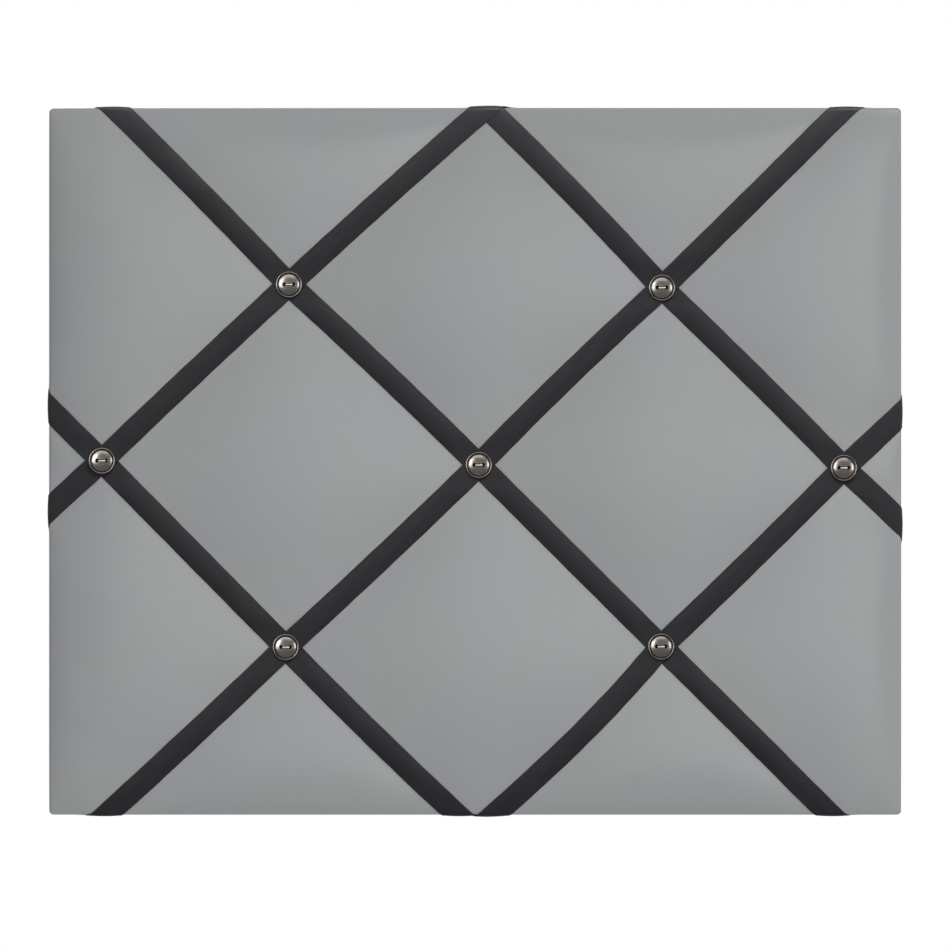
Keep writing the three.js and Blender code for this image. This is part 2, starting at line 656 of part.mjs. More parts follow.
// Thread as one loop through a button and the base board, knotted behind the board
function threadGeometry() {
  const radius = THREAD_DIAMETER / 2;
  const bridge = (STITCH_SPACING - STITCH_HOLE) / EYE_LENGTH;
  const bridgeHeight = BUTTON_HEIGHT - EYE_DEPTH * Math.sqrt(1 - bridge ** 2);
  const front = BUTTON_BACK + bridgeHeight + FIT_GAP + radius;
  const back = BASE_BACK - FIT_GAP - radius;
  const loop = roundedRectangle(STITCH_SPACING, front - back, THREAD_BEND);
  const path = loop.getPoints(1);
  const rings = path.map((p, i) => {
    const before = path.at(i - 1);
    const after = path[(i + 1) % path.length];
    const across = new THREE.Vector2(after.y - before.y, before.x - after.x).normalize();
    return Array.from({ length: THREAD_SIDES }, (_, k) => {
      const angle = k / THREAD_SIDES * Math.PI * 2;
      const out = radius * Math.cos(angle);
      const depth = (front + back) / 2 + p.y + across.y * out;
      return new THREE.Vector3(p.x + across.x * out, -depth, radius * Math.sin(angle));
    });
  });
  const knotRadius = (BASE_BACK - PANEL_THICKNESS - 2 * FIT_GAP) / 2;
  const knot = new THREE.SphereGeometry(knotRadius, THREAD_SIDES, 4);
  knot.translate(0, -(BASE_BACK - FIT_GAP - knotRadius), 0);
  return geometryOf(solid(loft(rings, true)).add(solid(knot)));
}

// Staples

// Staple with its crown along X, its crown's back on y = 0 and its legs towards -Y
function stapleGeometry() {
  const half = STAPLE_CROWN / 2;
  const inner = half - STAPLE_WIRE;
  const shape = new THREE.Shape();
  shape.moveTo(-half, 0);
  shape.lineTo(half, 0);
  shape.lineTo(half, STAPLE_LEG - STAPLE_WIRE);
  shape.lineTo(inner, STAPLE_LEG);
  shape.lineTo(inner, STAPLE_WIRE);
  shape.lineTo(-inner, STAPLE_WIRE);
  shape.lineTo(-inner, STAPLE_LEG);
  shape.lineTo(-half, STAPLE_LEG - STAPLE_WIRE);
  const geometry = new THREE.ExtrudeGeometry(shape, { depth: STAPLE_WIRE, bevelEnabled: false });
  return geometry.translate(0, 0, -STAPLE_WIRE / 2).rotateX(Math.PI);
}

// Each ribbon end is stapled on its centreline
function staplePlaces() {
  return Object.values(RIBBONS).flatMap((ribbon) => [0, 1].map((end) => {
    const edge = EDGES[ribbon.edges[end]];
    const { plan, heading } = ribbonPoint(ribbon, edgeRun(ribbon, end));
    const slope = heading.dot(edge.along) / heading.dot(edge.out);
    const inset = ribbon.tails[end] - STAPLE_SETBACK;
    const along = plan.dot(edge.along) + slope * edgeDistance(inset);
    const spot = edge.out.clone().multiplyScalar(edge.half - inset).addScaledVector(edge.along, along);
    return { edge, spot };
  }));
}

// Way round the edge from where a ribbon leaves the front to a place behind the board
function edgeDistance(inset) {
  const profile = edgeProfile(inset).slice(EDGE_APPROACH.length);
  const points = profile.map((p) => new THREE.Vector2(p.inset, p.depth));
  return points.slice(1).reduce((sum, point, i) => sum + point.distanceTo(points[i]), 0);
}

// Leg passages of the staples, a little wider than the wire
function stapleLegHoles(places) {
  const width = STAPLE_WIRE + 2 * FIT_GAP;
  return joined(places.flatMap((place) => [-1, 1].map((way) => {
    const depth = STAPLE_LEG + FIT_GAP;
    const offset = way * (STAPLE_CROWN - STAPLE_WIRE) / 2;
    const plan = place.spot.clone().addScaledVector(place.edge.along, offset);
    const hole = new THREE.BoxGeometry(width, depth, width);
    return solid(hole.translate(plan.x, -(STAPLE_BACK + depth / 2), plan.y));
  })));
}

// Hangers, each in its own group with its origin on the ring's axis, at the back panel's rear face

const STRAP_BACK = FIT_GAP + STRAP_THICKNESS; // outer face of the strap, behind the back panel
const RING_AXIS = STRAP_BACK + RUNNING_GAP + RING_WIRE / 2;
const RING_REACH = RING_LEG + RING_WIDTH / 2;
const SCREW_DROP = RING_REACH + RING_WIRE / 2 + SCREW_HEAD / 2 + 2 * RUNNING_GAP;
const SCREW_SEAT = STRAP_BACK + FIT_GAP;
const SCREW_HOLE = SCREW_DIAMETER + 2 * FIT_GAP;

// Strap of bent sheet, rolled round the ring's bar, with a round end about its screw
function strapGeometry() {
  const inner = RING_WIRE / 2 + RUNNING_GAP;
  const outer = inner + STRAP_THICKNESS;
  const start = -Math.PI / 2;
  const stop = Math.PI + THREE.MathUtils.degToRad(STRAP_ROLL_END);
  const bend = new THREE.Shape();
  bend.moveTo(-SCREW_DROP - STRAP_WIDTH, FIT_GAP);
  bend.lineTo(0, FIT_GAP);
  bend.absarc(0, RING_AXIS, outer, start, stop);
  bend.lineTo(inner * Math.cos(stop), RING_AXIS + inner * Math.sin(stop));
  bend.absarc(0, RING_AXIS, inner, stop, start, true);
  bend.lineTo(-SCREW_DROP - STRAP_WIDTH, STRAP_BACK);
  const settings = { depth: STRAP_WIDTH, bevelEnabled: false, curveSegments: 8 };
  const sheet = new THREE.ExtrudeGeometry(bend, settings).translate(0, 0, -STRAP_WIDTH / 2);
  sheet.applyMatrix4(new THREE.Matrix4().makeBasis(
    new THREE.Vector3(0, 0, 1), new THREE.Vector3(0, 1, 0), new THREE.Vector3(1, 0, 0),
  ));
  const outline = new THREE.Shape();
  outline.moveTo(STRAP_WIDTH / 2, STRAP_WIDTH);
  outline.lineTo(-STRAP_WIDTH / 2, STRAP_WIDTH);
  outline.lineTo(-STRAP_WIDTH / 2, -SCREW_DROP);
  outline.absarc(0, -SCREW_DROP, STRAP_WIDTH / 2, Math.PI, Math.PI * 2);
  const blank = plate(outline, -2 * RING_AXIS - outer, STRAP_WIDTH, 8);
  const screwSpot = new THREE.Vector2(0, -SCREW_DROP);
  const screwHole = pin(screwSpot, SCREW_HOLE, -STRAP_WIDTH, STRAP_WIDTH, SCREW_SIDES);
  return geometryOf(solid(sheet).intersect(solid(blank)).subtract(solid(screwHole)));
}

// D-ring hanging from its straight bar
function ringGeometry() {
  const half = RING_WIDTH / 2;
  const path = new THREE.Path();
  path.moveTo(RING_CORNER - half, 0);
  path.lineTo(half - RING_CORNER, 0);
  path.absarc(half - RING_CORNER, -RING_CORNER, RING_CORNER, Math.PI / 2, 0, true);
  path.lineTo(half, -RING_LEG);
  path.absarc(0, -RING_LEG, half, 0, -Math.PI, true);
  path.lineTo(-half, -RING_CORNER);
  path.absarc(RING_CORNER - half, -RING_CORNER, RING_CORNER, Math.PI, Math.PI / 2, true);
  const points = path.getPoints(3).slice(0, -1);
  const rings = points.map((p, i) => {
    const before = points.at(i - 1);
    const after = points[(i + 1) % points.length];
    const across = new THREE.Vector2(after.y - before.y, before.x - after.x).normalize();
    return Array.from({ length: RING_SIDES }, (_, k) => {
      const angle = (k + 0.5) / RING_SIDES * Math.PI * 2;
      const out = RING_WIRE / 2 * Math.cos(angle);
      const behind = RING_AXIS + RING_WIRE / 2 * Math.sin(angle);
      return new THREE.Vector3(p.x + across.x * out, behind, p.y + across.y * out);
    });
  });
  return loft(rings, true);
}

// Pan-head screw with a cross slot, along Y
function screwGeometry() {
  const headRadius = SCREW_HEAD / 2;
  const profile = new THREE.Path();
  profile.moveTo(0, -SCREW_LENGTH);
  profile.lineTo(SCREW_DIAMETER / 2, SCREW_TIP - SCREW_LENGTH);
  profile.lineTo(SCREW_DIAMETER / 2, 0);
  profile.lineTo(headRadius, 0);
  profile.lineTo(headRadius, SCREW_HEAD_HEIGHT / 3);
  profile.absellipse(0, SCREW_HEAD_HEIGHT / 3, headRadius, SCREW_HEAD_HEIGHT * 2 / 3, 0, Math.PI / 2);
  const points = profile.getPoints(2);
  points.at(-1).x = 0;
  const body = solid(new THREE.LatheGeometry(points, SCREW_SIDES));
  const bar = new THREE.BoxGeometry(SCREW_SLOT_LENGTH, SCREW_HEAD_HEIGHT, SCREW_SLOT);
  bar.translate(0, SCREW_HEAD_HEIGHT, 0);
  const cross = solid(bar).add(solid(bar.clone().rotateY(Math.PI / 2)));
  return geometryOf(body.subtract(cross)).translate(0, SCREW_SEAT, -SCREW_DROP);
}

// Board and panel

const hangerPoints = { left: -HANGER_SPREAD / 2, right: HANGER_SPREAD / 2 };
const hangerHeight = BOARD_HEIGHT / 2 - HANGER_DROP;
const screwPoints = Object.values(hangerPoints).map((x) => new THREE.Vector2(x, hangerHeight - SCREW_DROP));

function baseBoardGeometry(stapleHoles) {
  const shape = roundedRectangle(BOARD_WIDTH - 2 * SKIN, BOARD_HEIGHT - 2 * SKIN, CORNER_RADIUS - SKIN);
  const blank = solid(plate(shape, BASE_BACK, BASE_BACK + BASE_THICKNESS, 2));
  const drilled = joined(stitchPoints.map((plan) => solid(pin(plan, STITCH_HOLE, 0, CREST, NEEDLE_SIDES))));
  const pilotDepth = SCREW_LENGTH - SCREW_SEAT + FIT_GAP;
  const pilots = screwPoints.map((plan) => solid(pin(plan, SCREW_HOLE, 0, pilotDepth, SCREW_SIDES)));
  return geometryOf(blank.subtract(drilled).subtract(stapleHoles).subtract(joined(pilots)));
}

function backPanelGeometry() {
  const shape = roundedRectangle(BOARD_WIDTH - 2 * PANEL_INSET, BOARD_HEIGHT - 2 * PANEL_INSET, PANEL_CORNER);
  const blank = solid(plate(shape, 0, PANEL_THICKNESS));
  const reach = 2 * PANEL_THICKNESS;
  const holes = screwPoints.map((plan) => solid(pin(plan, SCREW_HOLE, -reach, reach, SCREW_SIDES)));
  return geometryOf(blank.subtract(joined(holes)));
}

// Assembly

const memoBoard = new THREE.Group();

function addPiece(group, name, geometry, material) {
  const mesh = new THREE.Mesh(closed(geometry), material.clone());
  mesh.name = name;
  group.add(mesh);
  return mesh;
}

const staples = staplePlaces();
const stapleHoles = stapleLegHoles(staples);

addPiece(memoBoard, 'base_board', baseBoardGeometry(stapleHoles), MATERIALS.fibreboard);
addPiece(memoBoard, 'foam_pad', padGeometry(), MATERIALS.foam);
addPiece(memoBoard, 'fabric_cover', coverGeometry(stapleHoles), MATERIALS.cloth);
addPiece(memoBoard, 'back_panel', backPanelGeometry(), MATERIALS.card);

for (const [name, ribbon] of Object.entries(RIBBONS)) {
  addPiece(memoBoard, name, ribbonGeometry(ribbon, stapleHoles), MATERIALS.ribbon);
}

const button = buttonGeometry();
const thread = threadGeometry();
for (const name of Object.keys(CROSSINGS)) {
  const spot = crossingPoint(name);
  addPiece(memoBoard, `button_${name}`, button, MATERIALS.button).position.copy(at(spot, BUTTON_BACK));
  addPiece(memoBoard, `thread_${name}`, thread, MATERIALS.thread).position.copy(at(spot, 0));
}

const staple = stapleGeometry();
staples.forEach(({ edge, spot }, i) => {
  const name = `ribbon_staple_${String(i + 1).padStart(2, '0')}`;
  const mesh = addPiece(memoBoard, name, staple, MATERIALS.steel);
  mesh.position.copy(at(spot, STAPLE_BACK));
  mesh.rotation.y = edge.along.x === 0 ? Math.PI / 2 : 0;
});

const strap = strapGeometry();
const ring = ringGeometry();
const screw = screwGeometry();
for (const [side, x] of Object.entries(hangerPoints)) {
  const hanger = new THREE.Group();
  hanger.position.set(x, 0, hangerHeight);
  addPiece(hanger, `hanger_strap_${side}`, strap, MATERIALS.nickel);
  addPiece(hanger, `hanger_ring_${side}`, ring, MATERIALS.nickel);
  addPiece(hanger, `hanger_screw_${side}`, screw, MATERIALS.steel);
  memoBoard.add(hanger);
}

export default memoBoard;
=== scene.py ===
"""French memo board, dressed: a grey cloth cover over wadding, six satin ribbons laid as a diamond
lattice and wrapped round the edges, seven sewn nickel buttons, and two ring hangers on the back."""

import math

import bmesh
import bpy
import numpy as np
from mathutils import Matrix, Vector


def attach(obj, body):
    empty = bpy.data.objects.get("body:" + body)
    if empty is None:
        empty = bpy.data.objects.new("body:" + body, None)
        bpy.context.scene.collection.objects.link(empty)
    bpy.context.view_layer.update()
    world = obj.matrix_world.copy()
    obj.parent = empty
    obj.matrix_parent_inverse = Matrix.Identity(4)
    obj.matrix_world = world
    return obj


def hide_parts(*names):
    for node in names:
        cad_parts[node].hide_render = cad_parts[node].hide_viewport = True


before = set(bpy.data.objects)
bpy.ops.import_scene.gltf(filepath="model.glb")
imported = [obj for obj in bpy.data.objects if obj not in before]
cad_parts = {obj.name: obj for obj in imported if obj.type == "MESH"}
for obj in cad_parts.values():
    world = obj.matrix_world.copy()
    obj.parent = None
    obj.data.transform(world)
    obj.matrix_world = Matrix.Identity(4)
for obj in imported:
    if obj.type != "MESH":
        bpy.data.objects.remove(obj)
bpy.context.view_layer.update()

MM = 0.001
SQUARE = ((-1, -1), (1, -1), (1, 1), (-1, 1))  # a square's corners in their order

# Board, in millimetres; depth is measured from the back face of the panel towards the front
BOARD_WIDTH = 481.0
BOARD_HEIGHT = 399.0
HALF_WIDTH = BOARD_WIDTH / 2
HALF_HEIGHT = BOARD_HEIGHT / 2
CORNER_RADIUS = 2.5
CORNER_SPREAD = 0.6  # growth of the corner radius for each millimetre of inset
CORNER_ZONE = 50.0  # stretch of each side that the corner's bend is spread over
EDGE_ROLL = 1.6  # inset where the front starts to turn round the edge
EDGE_TURN = 1.8  # how far back that turn goes before it meets the straight side
COVER_BACK = 2.9  # depth of the cloth that is turned under, where a ribbon presses it
UNDER_FULLNESS = 0.75  # how much nearer the back panel it swells between the ribbons
UNDER_SWELL = 4.5  # inset where it is fully swollen
CORNER_FLAT = (22.0, 40.0)  # from the corners, where ribbon ends keep it flat
BACK_ROUND = 1.1  # radius of the side's back edge
TURN_UNDER = 22.0  # how far in behind the cloth reaches
PAD_BACK = 11.0  # depth of the wadding's back
SKIN = 0.8  # the wadding's surface under the cloth's
PAD_INSET = 2.4  # how far the wadding stays inside the cloth's edge

# Quilting
TUFT_DEPTH = 17.95  # depth of the cloth under a button
CHANNEL_RISE = 2.1  # how much higher the cloth lies under a ribbon midway between two buttons
TUFT_REACH = 16.0  # how far along a ribbon a button's pull is felt
CHANNEL_FADE = (20.0, 50.0)  # inset over which the channel comes up from the edge
EDGE_DROP = 4.05  # how much lower the cloth lies at the edge than under a button
EDGE_FALL = 30.0  # inset where a ribbon starts to go down to the edge
EDGE_TOP = TUFT_DEPTH - EDGE_DROP
SIDE_FRONT = EDGE_TOP - EDGE_TURN  # depth where the straight side starts
SIDE_BACK = COVER_BACK + BACK_ROUND
EDGE_SLOPE = 0.75  # rise of the cloth for each millimetre in from the edge
CORNER_PULL = 3.2  # how much further the folded cloth draws the corners down
CORNER_REACH = 14.0  # how far from a corner that pull is felt

# Lattice: falling and rising lines one step apart, how each place has slipped, and how far the stretch
# between two places, named by its middle, is bowed sideways
PITCH_X = 105.0
PITCH_Z = 102.0
LATTICE_DROP = 2.5
PLACE_ROUNDS = 8  # rounds in which the place under a point is closed in on
LINES = (-1, 0, 1)
LINE_SPACING = 2 / math.hypot(1 / PITCH_X, 1 / PITCH_Z)
BUTTON_PLACES = {
    "upper_left": (0, 1),
    "upper_right": (1, 0),
    "middle_left": (-1, 1),
    "centre": (0, 0),
    "middle_right": (1, -1),
    "lower_left": (-1, 0),
    "lower_right": (0, -1),
}
SLIPS = {
    (0, 1): (0, 0.2),
    (1, 0): (0.4, -1.6),
    (-1, 1): (-0.5, 2.8),
    (0, 0): (2.1, 0.4),
    (1, -1): (-2.1, -1.2),
    (-1, 0): (-1.8, -0.3),
    (0, -1): (-0.1, 0),
    (1, 1): (6.5, -1.5),
    (-1, -1): (-0.5, -2),
    (0, 2): (4.8, 0),
    (0, -2): (-3, 0),
    (-2, 0): (-5.6, 0),
    (2, 0): (0.2, 0),
    (-1, 2): (0, 3.5),
    (-2, 1): (0, 10),
    (1, -2): (0, 0.6),
    (2, -1): (0, -4.3),
}
BOWS = {
    (-1, -0.5): -1.3,
    (0, 1.5): 0.8,
    (0, 0.5): 1.2,
    (0, -1.5): 0.4,
    (1, 0.5): 1.5,
    (1, -0.5): 1,
    (-0.5, 1): -0.5,
    (0.5, 1): -0.8,
    (-1.5, 0): 0.8,
    (-0.5, 0): 0.9,
    (0.5, 0): -1.7,
    (1.5, 0): 0.4,
    (-0.5, -1): 4.9,
    (0.5, -1): 0.9,
}

# Ribbon
RIBBON_WIDTH = 13.0
RIBBON_THICKNESS = 0.4
RIBBON_CROWN = 1.15  # how far a ribbon's middle stands above its edges
RIBBON_LIE = 0.03  # air between a ribbon and what it lies on
EDGE_APPROACH = 20.0  # inset where a ribbon begins to follow the edge
RIBBON_TAIL = 10.0  # how far in behind a ribbon's end reaches
CROSSED_TAIL = 15.5  # the same, where two ends cross
EDGES = {
    "left": (np.array([-1.0, 0.0]), HALF_WIDTH),
    "right": (np.array([1.0, 0.0]), HALF_WIDTH),
    "top": (np.array([0.0, 1.0]), HALF_HEIGHT),
    "bottom": (np.array([0.0, -1.0]), HALF_HEIGHT),
}
RIBBONS = {
    "ribbon_fall_left": ("fall", -1, "left", "bottom", RIBBON_TAIL, CROSSED_TAIL),
    "ribbon_fall_centre": ("fall", 0, "top", "bottom", RIBBON_TAIL, RIBBON_TAIL),
    "ribbon_fall_right": ("fall", 1, "top", "right", CROSSED_TAIL, RIBBON_TAIL),
    "ribbon_rise_left": ("rise", 1, "left", "top", RIBBON_TAIL, CROSSED_TAIL),
    "ribbon_rise_centre": ("rise", 0, "bottom", "top", RIBBON_TAIL, RIBBON_TAIL),
    "ribbon_rise_right": ("rise", -1, "bottom", "right", CROSSED_TAIL, RIBBON_TAIL),
}

# Button and its thread
BUTTON_BACK = 18.9  # depth of a button's flat back
BUTTON_RADIUS = 7.4
STITCH_SPACING = 4.8  # between its two holes
BASE_BACK = 4.7  # depth of the base board's back, where the thread turns

# Hangers
HANGER_SPREAD = 300.0  # from one ring's middle to the other's
HANGER_HEIGHT = 149.5  # of the rings' straight bars above the board's middle
RING_AXIS = 2.65  # how far behind the panel the bars lie
RING_WIRE = 2.5
RING_WIDTH = 16.0
RING_LEG = 4.0  # from the bar down to the middle of the half round
RING_CORNER = 2.5
RING_SIDES = 18
STRAP_WIDTH = 10.0
STRAP_THICKNESS = 0.8
STRAP_LIE = 0.3  # air between the strap and the panel
STRAP_END = math.radians(212)  # where its roll round the ring's bar ends
STRAP_EASE = 0.14  # rounding of its edges
STRAP_SHARP = math.radians(50)  # least angle of an edge that is rounded
STRAP_TIP = 86  # degrees from the round end's widest row to its last
STRAP_ROWS = (12, 10, 40)  # rows of its round end, its flat and its roll
STRAP_COLUMNS = 9
SCREW_DROP = 16.65  # from the ring's bar down to the screw
SCREW_SEAT = 1.4  # how far behind the panel its head's underside lies
SCREW_TURN = 0.6  # most that a screw's slots are turned, either way
SCREW_SIDES = 40
SCREW_ROWS = 49
SCREW_HEAD = (  # radius and height of the rings of its head, from the middle outwards
    (0.03, 1.9), (0.8, 1.84), (1.5, 1.66), (2.1, 1.36), (2.5, 0.98),
    (2.72, 0.6), (2.8, 0.3), (2.8, 0.1), (2.72, 0.0), (1.2, 0.0))
SHANK_LENGTH = 9.4
SHANK_RADIUS = 1.05
SHANK_GAP = 0.02  # from the head's underside to the shank's first row
POINT_LENGTH = 2.2
POINT_BLUNT = 0.2
SCREW_THREAD = 0.38  # how far the thread stands out
SCREW_PITCH = 1.2
SLOT_LENGTH = 3.4
SLOT_WIDTH = 0.8
SLOT_LEVELS = (1.0, 2.6)  # of its floor, and of the cut's top, which is clear of the head


def smooth_step(value, low, high):
    share = np.clip((value - low) / (high - low), 0, 1)
    return share * share * (3 - 2 * share)


# Lattice and quilting

def lattice_point(fall, rise):
    """Where a place of the lattice lies on the front, in millimetres."""
    fall, rise = np.broadcast_arrays(np.asarray(fall, float), np.asarray(rise, float))
    x = (fall - rise) * PITCH_X
    z = (fall + rise) * PITCH_Z - LATTICE_DROP
    for (slip_fall, slip_rise), (slip_x, slip_z) in SLIPS.items():
        share = np.maximum(0, 1 - abs(fall - slip_fall)) * np.maximum(0, 1 - abs(rise - slip_rise))
        x = x + slip_x * share
        z = z + slip_z * share
    for (bow_fall, bow_rise), bow in BOWS.items():
        along = rise - bow_rise
        across = fall - bow_fall
        if bow_fall != int(bow_fall):
            along, across = across, along
        x = x + bow * np.maximum(0, 1 - 4 * along**2) * np.maximum(0, 1 - abs(across))
    return x, z


def lattice_place(x, z):
    """The place of the lattice that lies at a point of the front."""
    fall = np.zeros_like(x)
    rise = np.zeros_like(x)
    for _ in range(PLACE_ROUNDS):
        at_x, at_z = lattice_point(fall, rise)
        off_x = (x - at_x) / PITCH_X
        off_z = (z - at_z) / PITCH_Z
        fall = fall + (off_z + off_x) / 2
        rise = rise + (off_z - off_x) / 2
    return fall, rise


def off_line(place):
    return np.minimum.reduce([abs(place - line) for line in LINES]) * LINE_SPACING


def edge_gaps(x, z):
    """Distances from a point of the front to the nearest upright edge and the nearest level one."""
    return HALF_WIDTH - abs(x), HALF_HEIGHT - abs(z)


def inset_of(x, z):
    return np.minimum(*edge_gaps(x, z))


def channel_depth(fall, rise, inset):
    """Depth of the cloth under a ribbon."""
    away = np.maximum(abs(np.sin(math.pi * fall)), abs(np.sin(math.pi * rise))) * LINE_SPACING / math.pi
    span = 1 - np.exp(-away / TUFT_REACH)
    return TUFT_DEPTH + CHANNEL_RISE * span * smooth_step(inset, *CHANNEL_FADE) - edge_drop(inset)


def edge_drop(inset):
    return EDGE_DROP * np.clip(1 - inset / EDGE_FALL, 0, None) ** 2


def turned_edge(depth, inset):
    """Takes the front's depth round the edge to the straight side."""
    share = np.clip(1 - inset / EDGE_ROLL, 0, 1)
    return depth - EDGE_TURN * (1 - np.sqrt(1 - share * share))


CELL = 2.0  # spacing of the points that the cloth is relaxed on
FIELD_X = 244.0  # half their field's width, and half its height, a little past the edges
FIELD_Z = 204.0
HOLD_REACH = 7.3  # how far from a ribbon's middle the cloth is held down
HOLD_FADE = 1.0  # half the stretch over which that hold lets go
HOLD_FORCE = 14.0  # a ribbon's hold, set against a pull of 1 from each point beside
EDGE_FORCE = 1e4
EDGE_BAND = CELL / 3  # inset within which a point counts as lying on the edge
WADDING_PUSH = 0.0033  # the wadding's push on each square millimetre
EDGE_PUSH = 0.062  # added along the edge, where the wadding is folded over
EDGE_PUSH_REACH = 10.0
SWEEPS = 420
OVERSHOOT = 1.9  # how much of its way to rest a point is moved in a sweep, to settle sooner


def relaxed_cloth():
    """The cloth as a stretched skin that the wadding pushes out and the ribbons hold down."""
    x, z = np.meshgrid(np.arange(-FIELD_X, FIELD_X + 1, CELL), np.arange(-FIELD_Z, FIELD_Z + 1, CELL))
    fall, rise = lattice_place(x, z)
    inset = inset_of(x, z)
    floor = channel_depth(fall, rise, inset)
    off = np.minimum(off_line(fall), off_line(rise))
    hold = HOLD_FORCE * smooth_step(-off, -HOLD_REACH - HOLD_FADE, -HOLD_REACH + HOLD_FADE)
    corner = np.hypot(*edge_gaps(x, z))
    edge = EDGE_TOP + EDGE_SLOPE * inset - CORNER_PULL * np.exp(-corner / CORNER_REACH)
    floor = np.where(inset < EDGE_BAND, edge, floor)
    hold = np.where(inset < EDGE_BAND, EDGE_FORCE, hold)
    push = WADDING_PUSH + EDGE_PUSH * np.exp(-inset / EDGE_PUSH_REACH)
    depth = floor.copy()
    chequer = np.indices(depth.shape).sum(0) % 2 == 0
    for _ in range(SWEEPS):
        for turn in (chequer, ~chequer):
            wide = np.pad(depth, 1, mode="edge")
            around = wide[:-2, 1:-1] + wide[2:, 1:-1] + wide[1:-1, :-2] + wide[1:-1, 2:]
            settled = (around + push * CELL * CELL + hold * floor) / (4 + hold)
            depth = np.where(turn, depth + OVERSHOOT * (settled - depth), depth)
    return depth


CLOTH_FIELD = relaxed_cloth()


def cubic_shares(share):
    """Shares of the four points round a place in a smooth curve through them."""
    return (
        ((2 - share) * share - 1) * share / 2,
        ((3 * share - 5) * share * share + 2) / 2,
        ((4 - 3 * share) * share + 1) * share / 2,
        (share - 1) * share * share / 2,
    )


def pillow_depth(x, z):
    """Depth of the relaxed cloth at any point of the front."""
    at_x = (x + FIELD_X) / CELL
    at_z = (z + FIELD_Z) / CELL
    column = np.clip(np.floor(at_x).astype(int), 1, CLOTH_FIELD.shape[1] - 3)
    row = np.clip(np.floor(at_z).astype(int), 1, CLOTH_FIELD.shape[0] - 3)
    depth = 0
    for down, share_z in enumerate(cubic_shares(at_z - row)):
        for along, share_x in enumerate(cubic_shares(at_x - column)):
            depth = depth + share_z * share_x * CLOTH_FIELD[row + down - 1, column + along - 1]
    return depth


def front_depth(x, z, inset):
    return turned_edge(pillow_depth(x, z), inset)


# Meshes

def add_object(name, data):
    thing = bpy.data.objects.new(name, data)
    bpy.context.scene.collection.objects.link(thing)
    return thing


def run_along(points):
    """Length of a path up to each of its points."""
    return np.concatenate([[0], np.cumsum(np.linalg.norm(np.diff(points, axis=0), axis=1))])


def mesh_piece(name, points, faces, material, uv=None, closed=False):
    """A smooth-shaded piece from points in millimetres, with its depth turned to minus Y."""
    mesh = bpy.data.meshes.new(name)
    mesh.from_pydata((np.asarray(points) * MM).tolist(), [], [tuple(map(int, f)) for f in faces])
    if uv is not None:
        layer = mesh.uv_layers.new(name="cut")
        corner = np.empty(len(mesh.loops), dtype=np.int32)
        mesh.loops.foreach_get("vertex_index", corner)
        layer.data.foreach_set("uv", (np.asarray(uv) * MM)[corner].astype(np.float32).ravel())
    if closed:
        shape = bmesh.new()
        shape.from_mesh(mesh)
        bmesh.ops.recalc_face_normals(shape, faces=shape.faces)
        shape.to_mesh(mesh)
        shape.free()
    mesh.shade_smooth()
    mesh.materials.append(material)
    return add_object(name, mesh)


def grid_faces(rows, columns, start=0, loop=False):
    """Four-cornered faces of a grid of points, closed across its columns where it is a loop."""
    index = start + np.arange(rows * columns).reshape(rows, columns)
    after = np.roll(index, -1, axis=1) if loop else index[:, 1:]
    before = index if loop else index[:, :-1]
    return np.stack([before[:-1], after[:-1], after[1:], before[1:]], axis=-1).reshape(-1, 4)


def turned_faces(rows, sides):
    """Faces of a turned form, with a flat at each end."""
    ends = [list(range(sides)), list(range((rows - 1) * sides, rows * sides))]
    return grid_faces(rows, sides, loop=True).tolist() + ends


# Cover and wadding

COVER_SPACING = 2.1  # of the mesh's lines on the front, which close up along the edge
EDGE_LINES = (0, 0.025, 0.1, 0.22, 0.38, 0.58, 0.82, 1.1, 1.4, 1.8, 2.4, 3.2, 4.2, 5.4, 6.8, 8.3, 10, 11.8,
              13.7, 15.7, 17.8)
PAD_SPACING = 6.0
PAD_EDGE_LINES = (0, 1, 3, 6, 10, 15)
SKIRT_ROWS = (8, 6, 9)  # rows down the side, round its back edge and on behind
CORNER_LIMIT = 0.8  # share of the corner's stretch that its bend may take
PLEAT_STEP = 0.3  # how far a corner pleat stands out
PLEAT_WIDTH = 2.0  # at the front, and below how much wider it is behind
PLEAT_SPREAD = 8.5
PLEAT_FADE = 0.5
PLEAT_CORNER = 1.4
PRESS = 0.42  # how far a ribbon sinks into the side
PRESS_RAMP = 2.0  # distance down the side over which it sinks
# Distances from a ribbon's middle between which the cloth comes up again
PRESS_FADE = (RIBBON_WIDTH / 2 + 0.3, RIBBON_WIDTH / 2 + 2.5)
EDGE_ALLOWANCE = 2.0  # cloth used by the turn round the edge
TOUCH = 1e-6


def cut_lines(half, spacing, edge):
    """Places of a grid's lines from edge to edge, close together near the edges."""
    inner = half - edge[-1]
    count = int(round(2 * inner / spacing))
    middle = np.linspace(-inner, inner, count + 1)
    return np.concatenate([np.array(edge[:-1]) - half, middle, half - np.array(edge[-2::-1])])


def point_at(x, z, near, far):
    """The point of the same corner of the board that lies so near one edge and so far from the other."""
    side, end = edge_gaps(x, z)
    new_side = np.where(side <= end, near, far)
    new_end = np.where(side <= end, far, near)
    return np.sign(x) * (HALF_WIDTH - new_side), np.sign(z) * (HALF_HEIGHT - new_end)


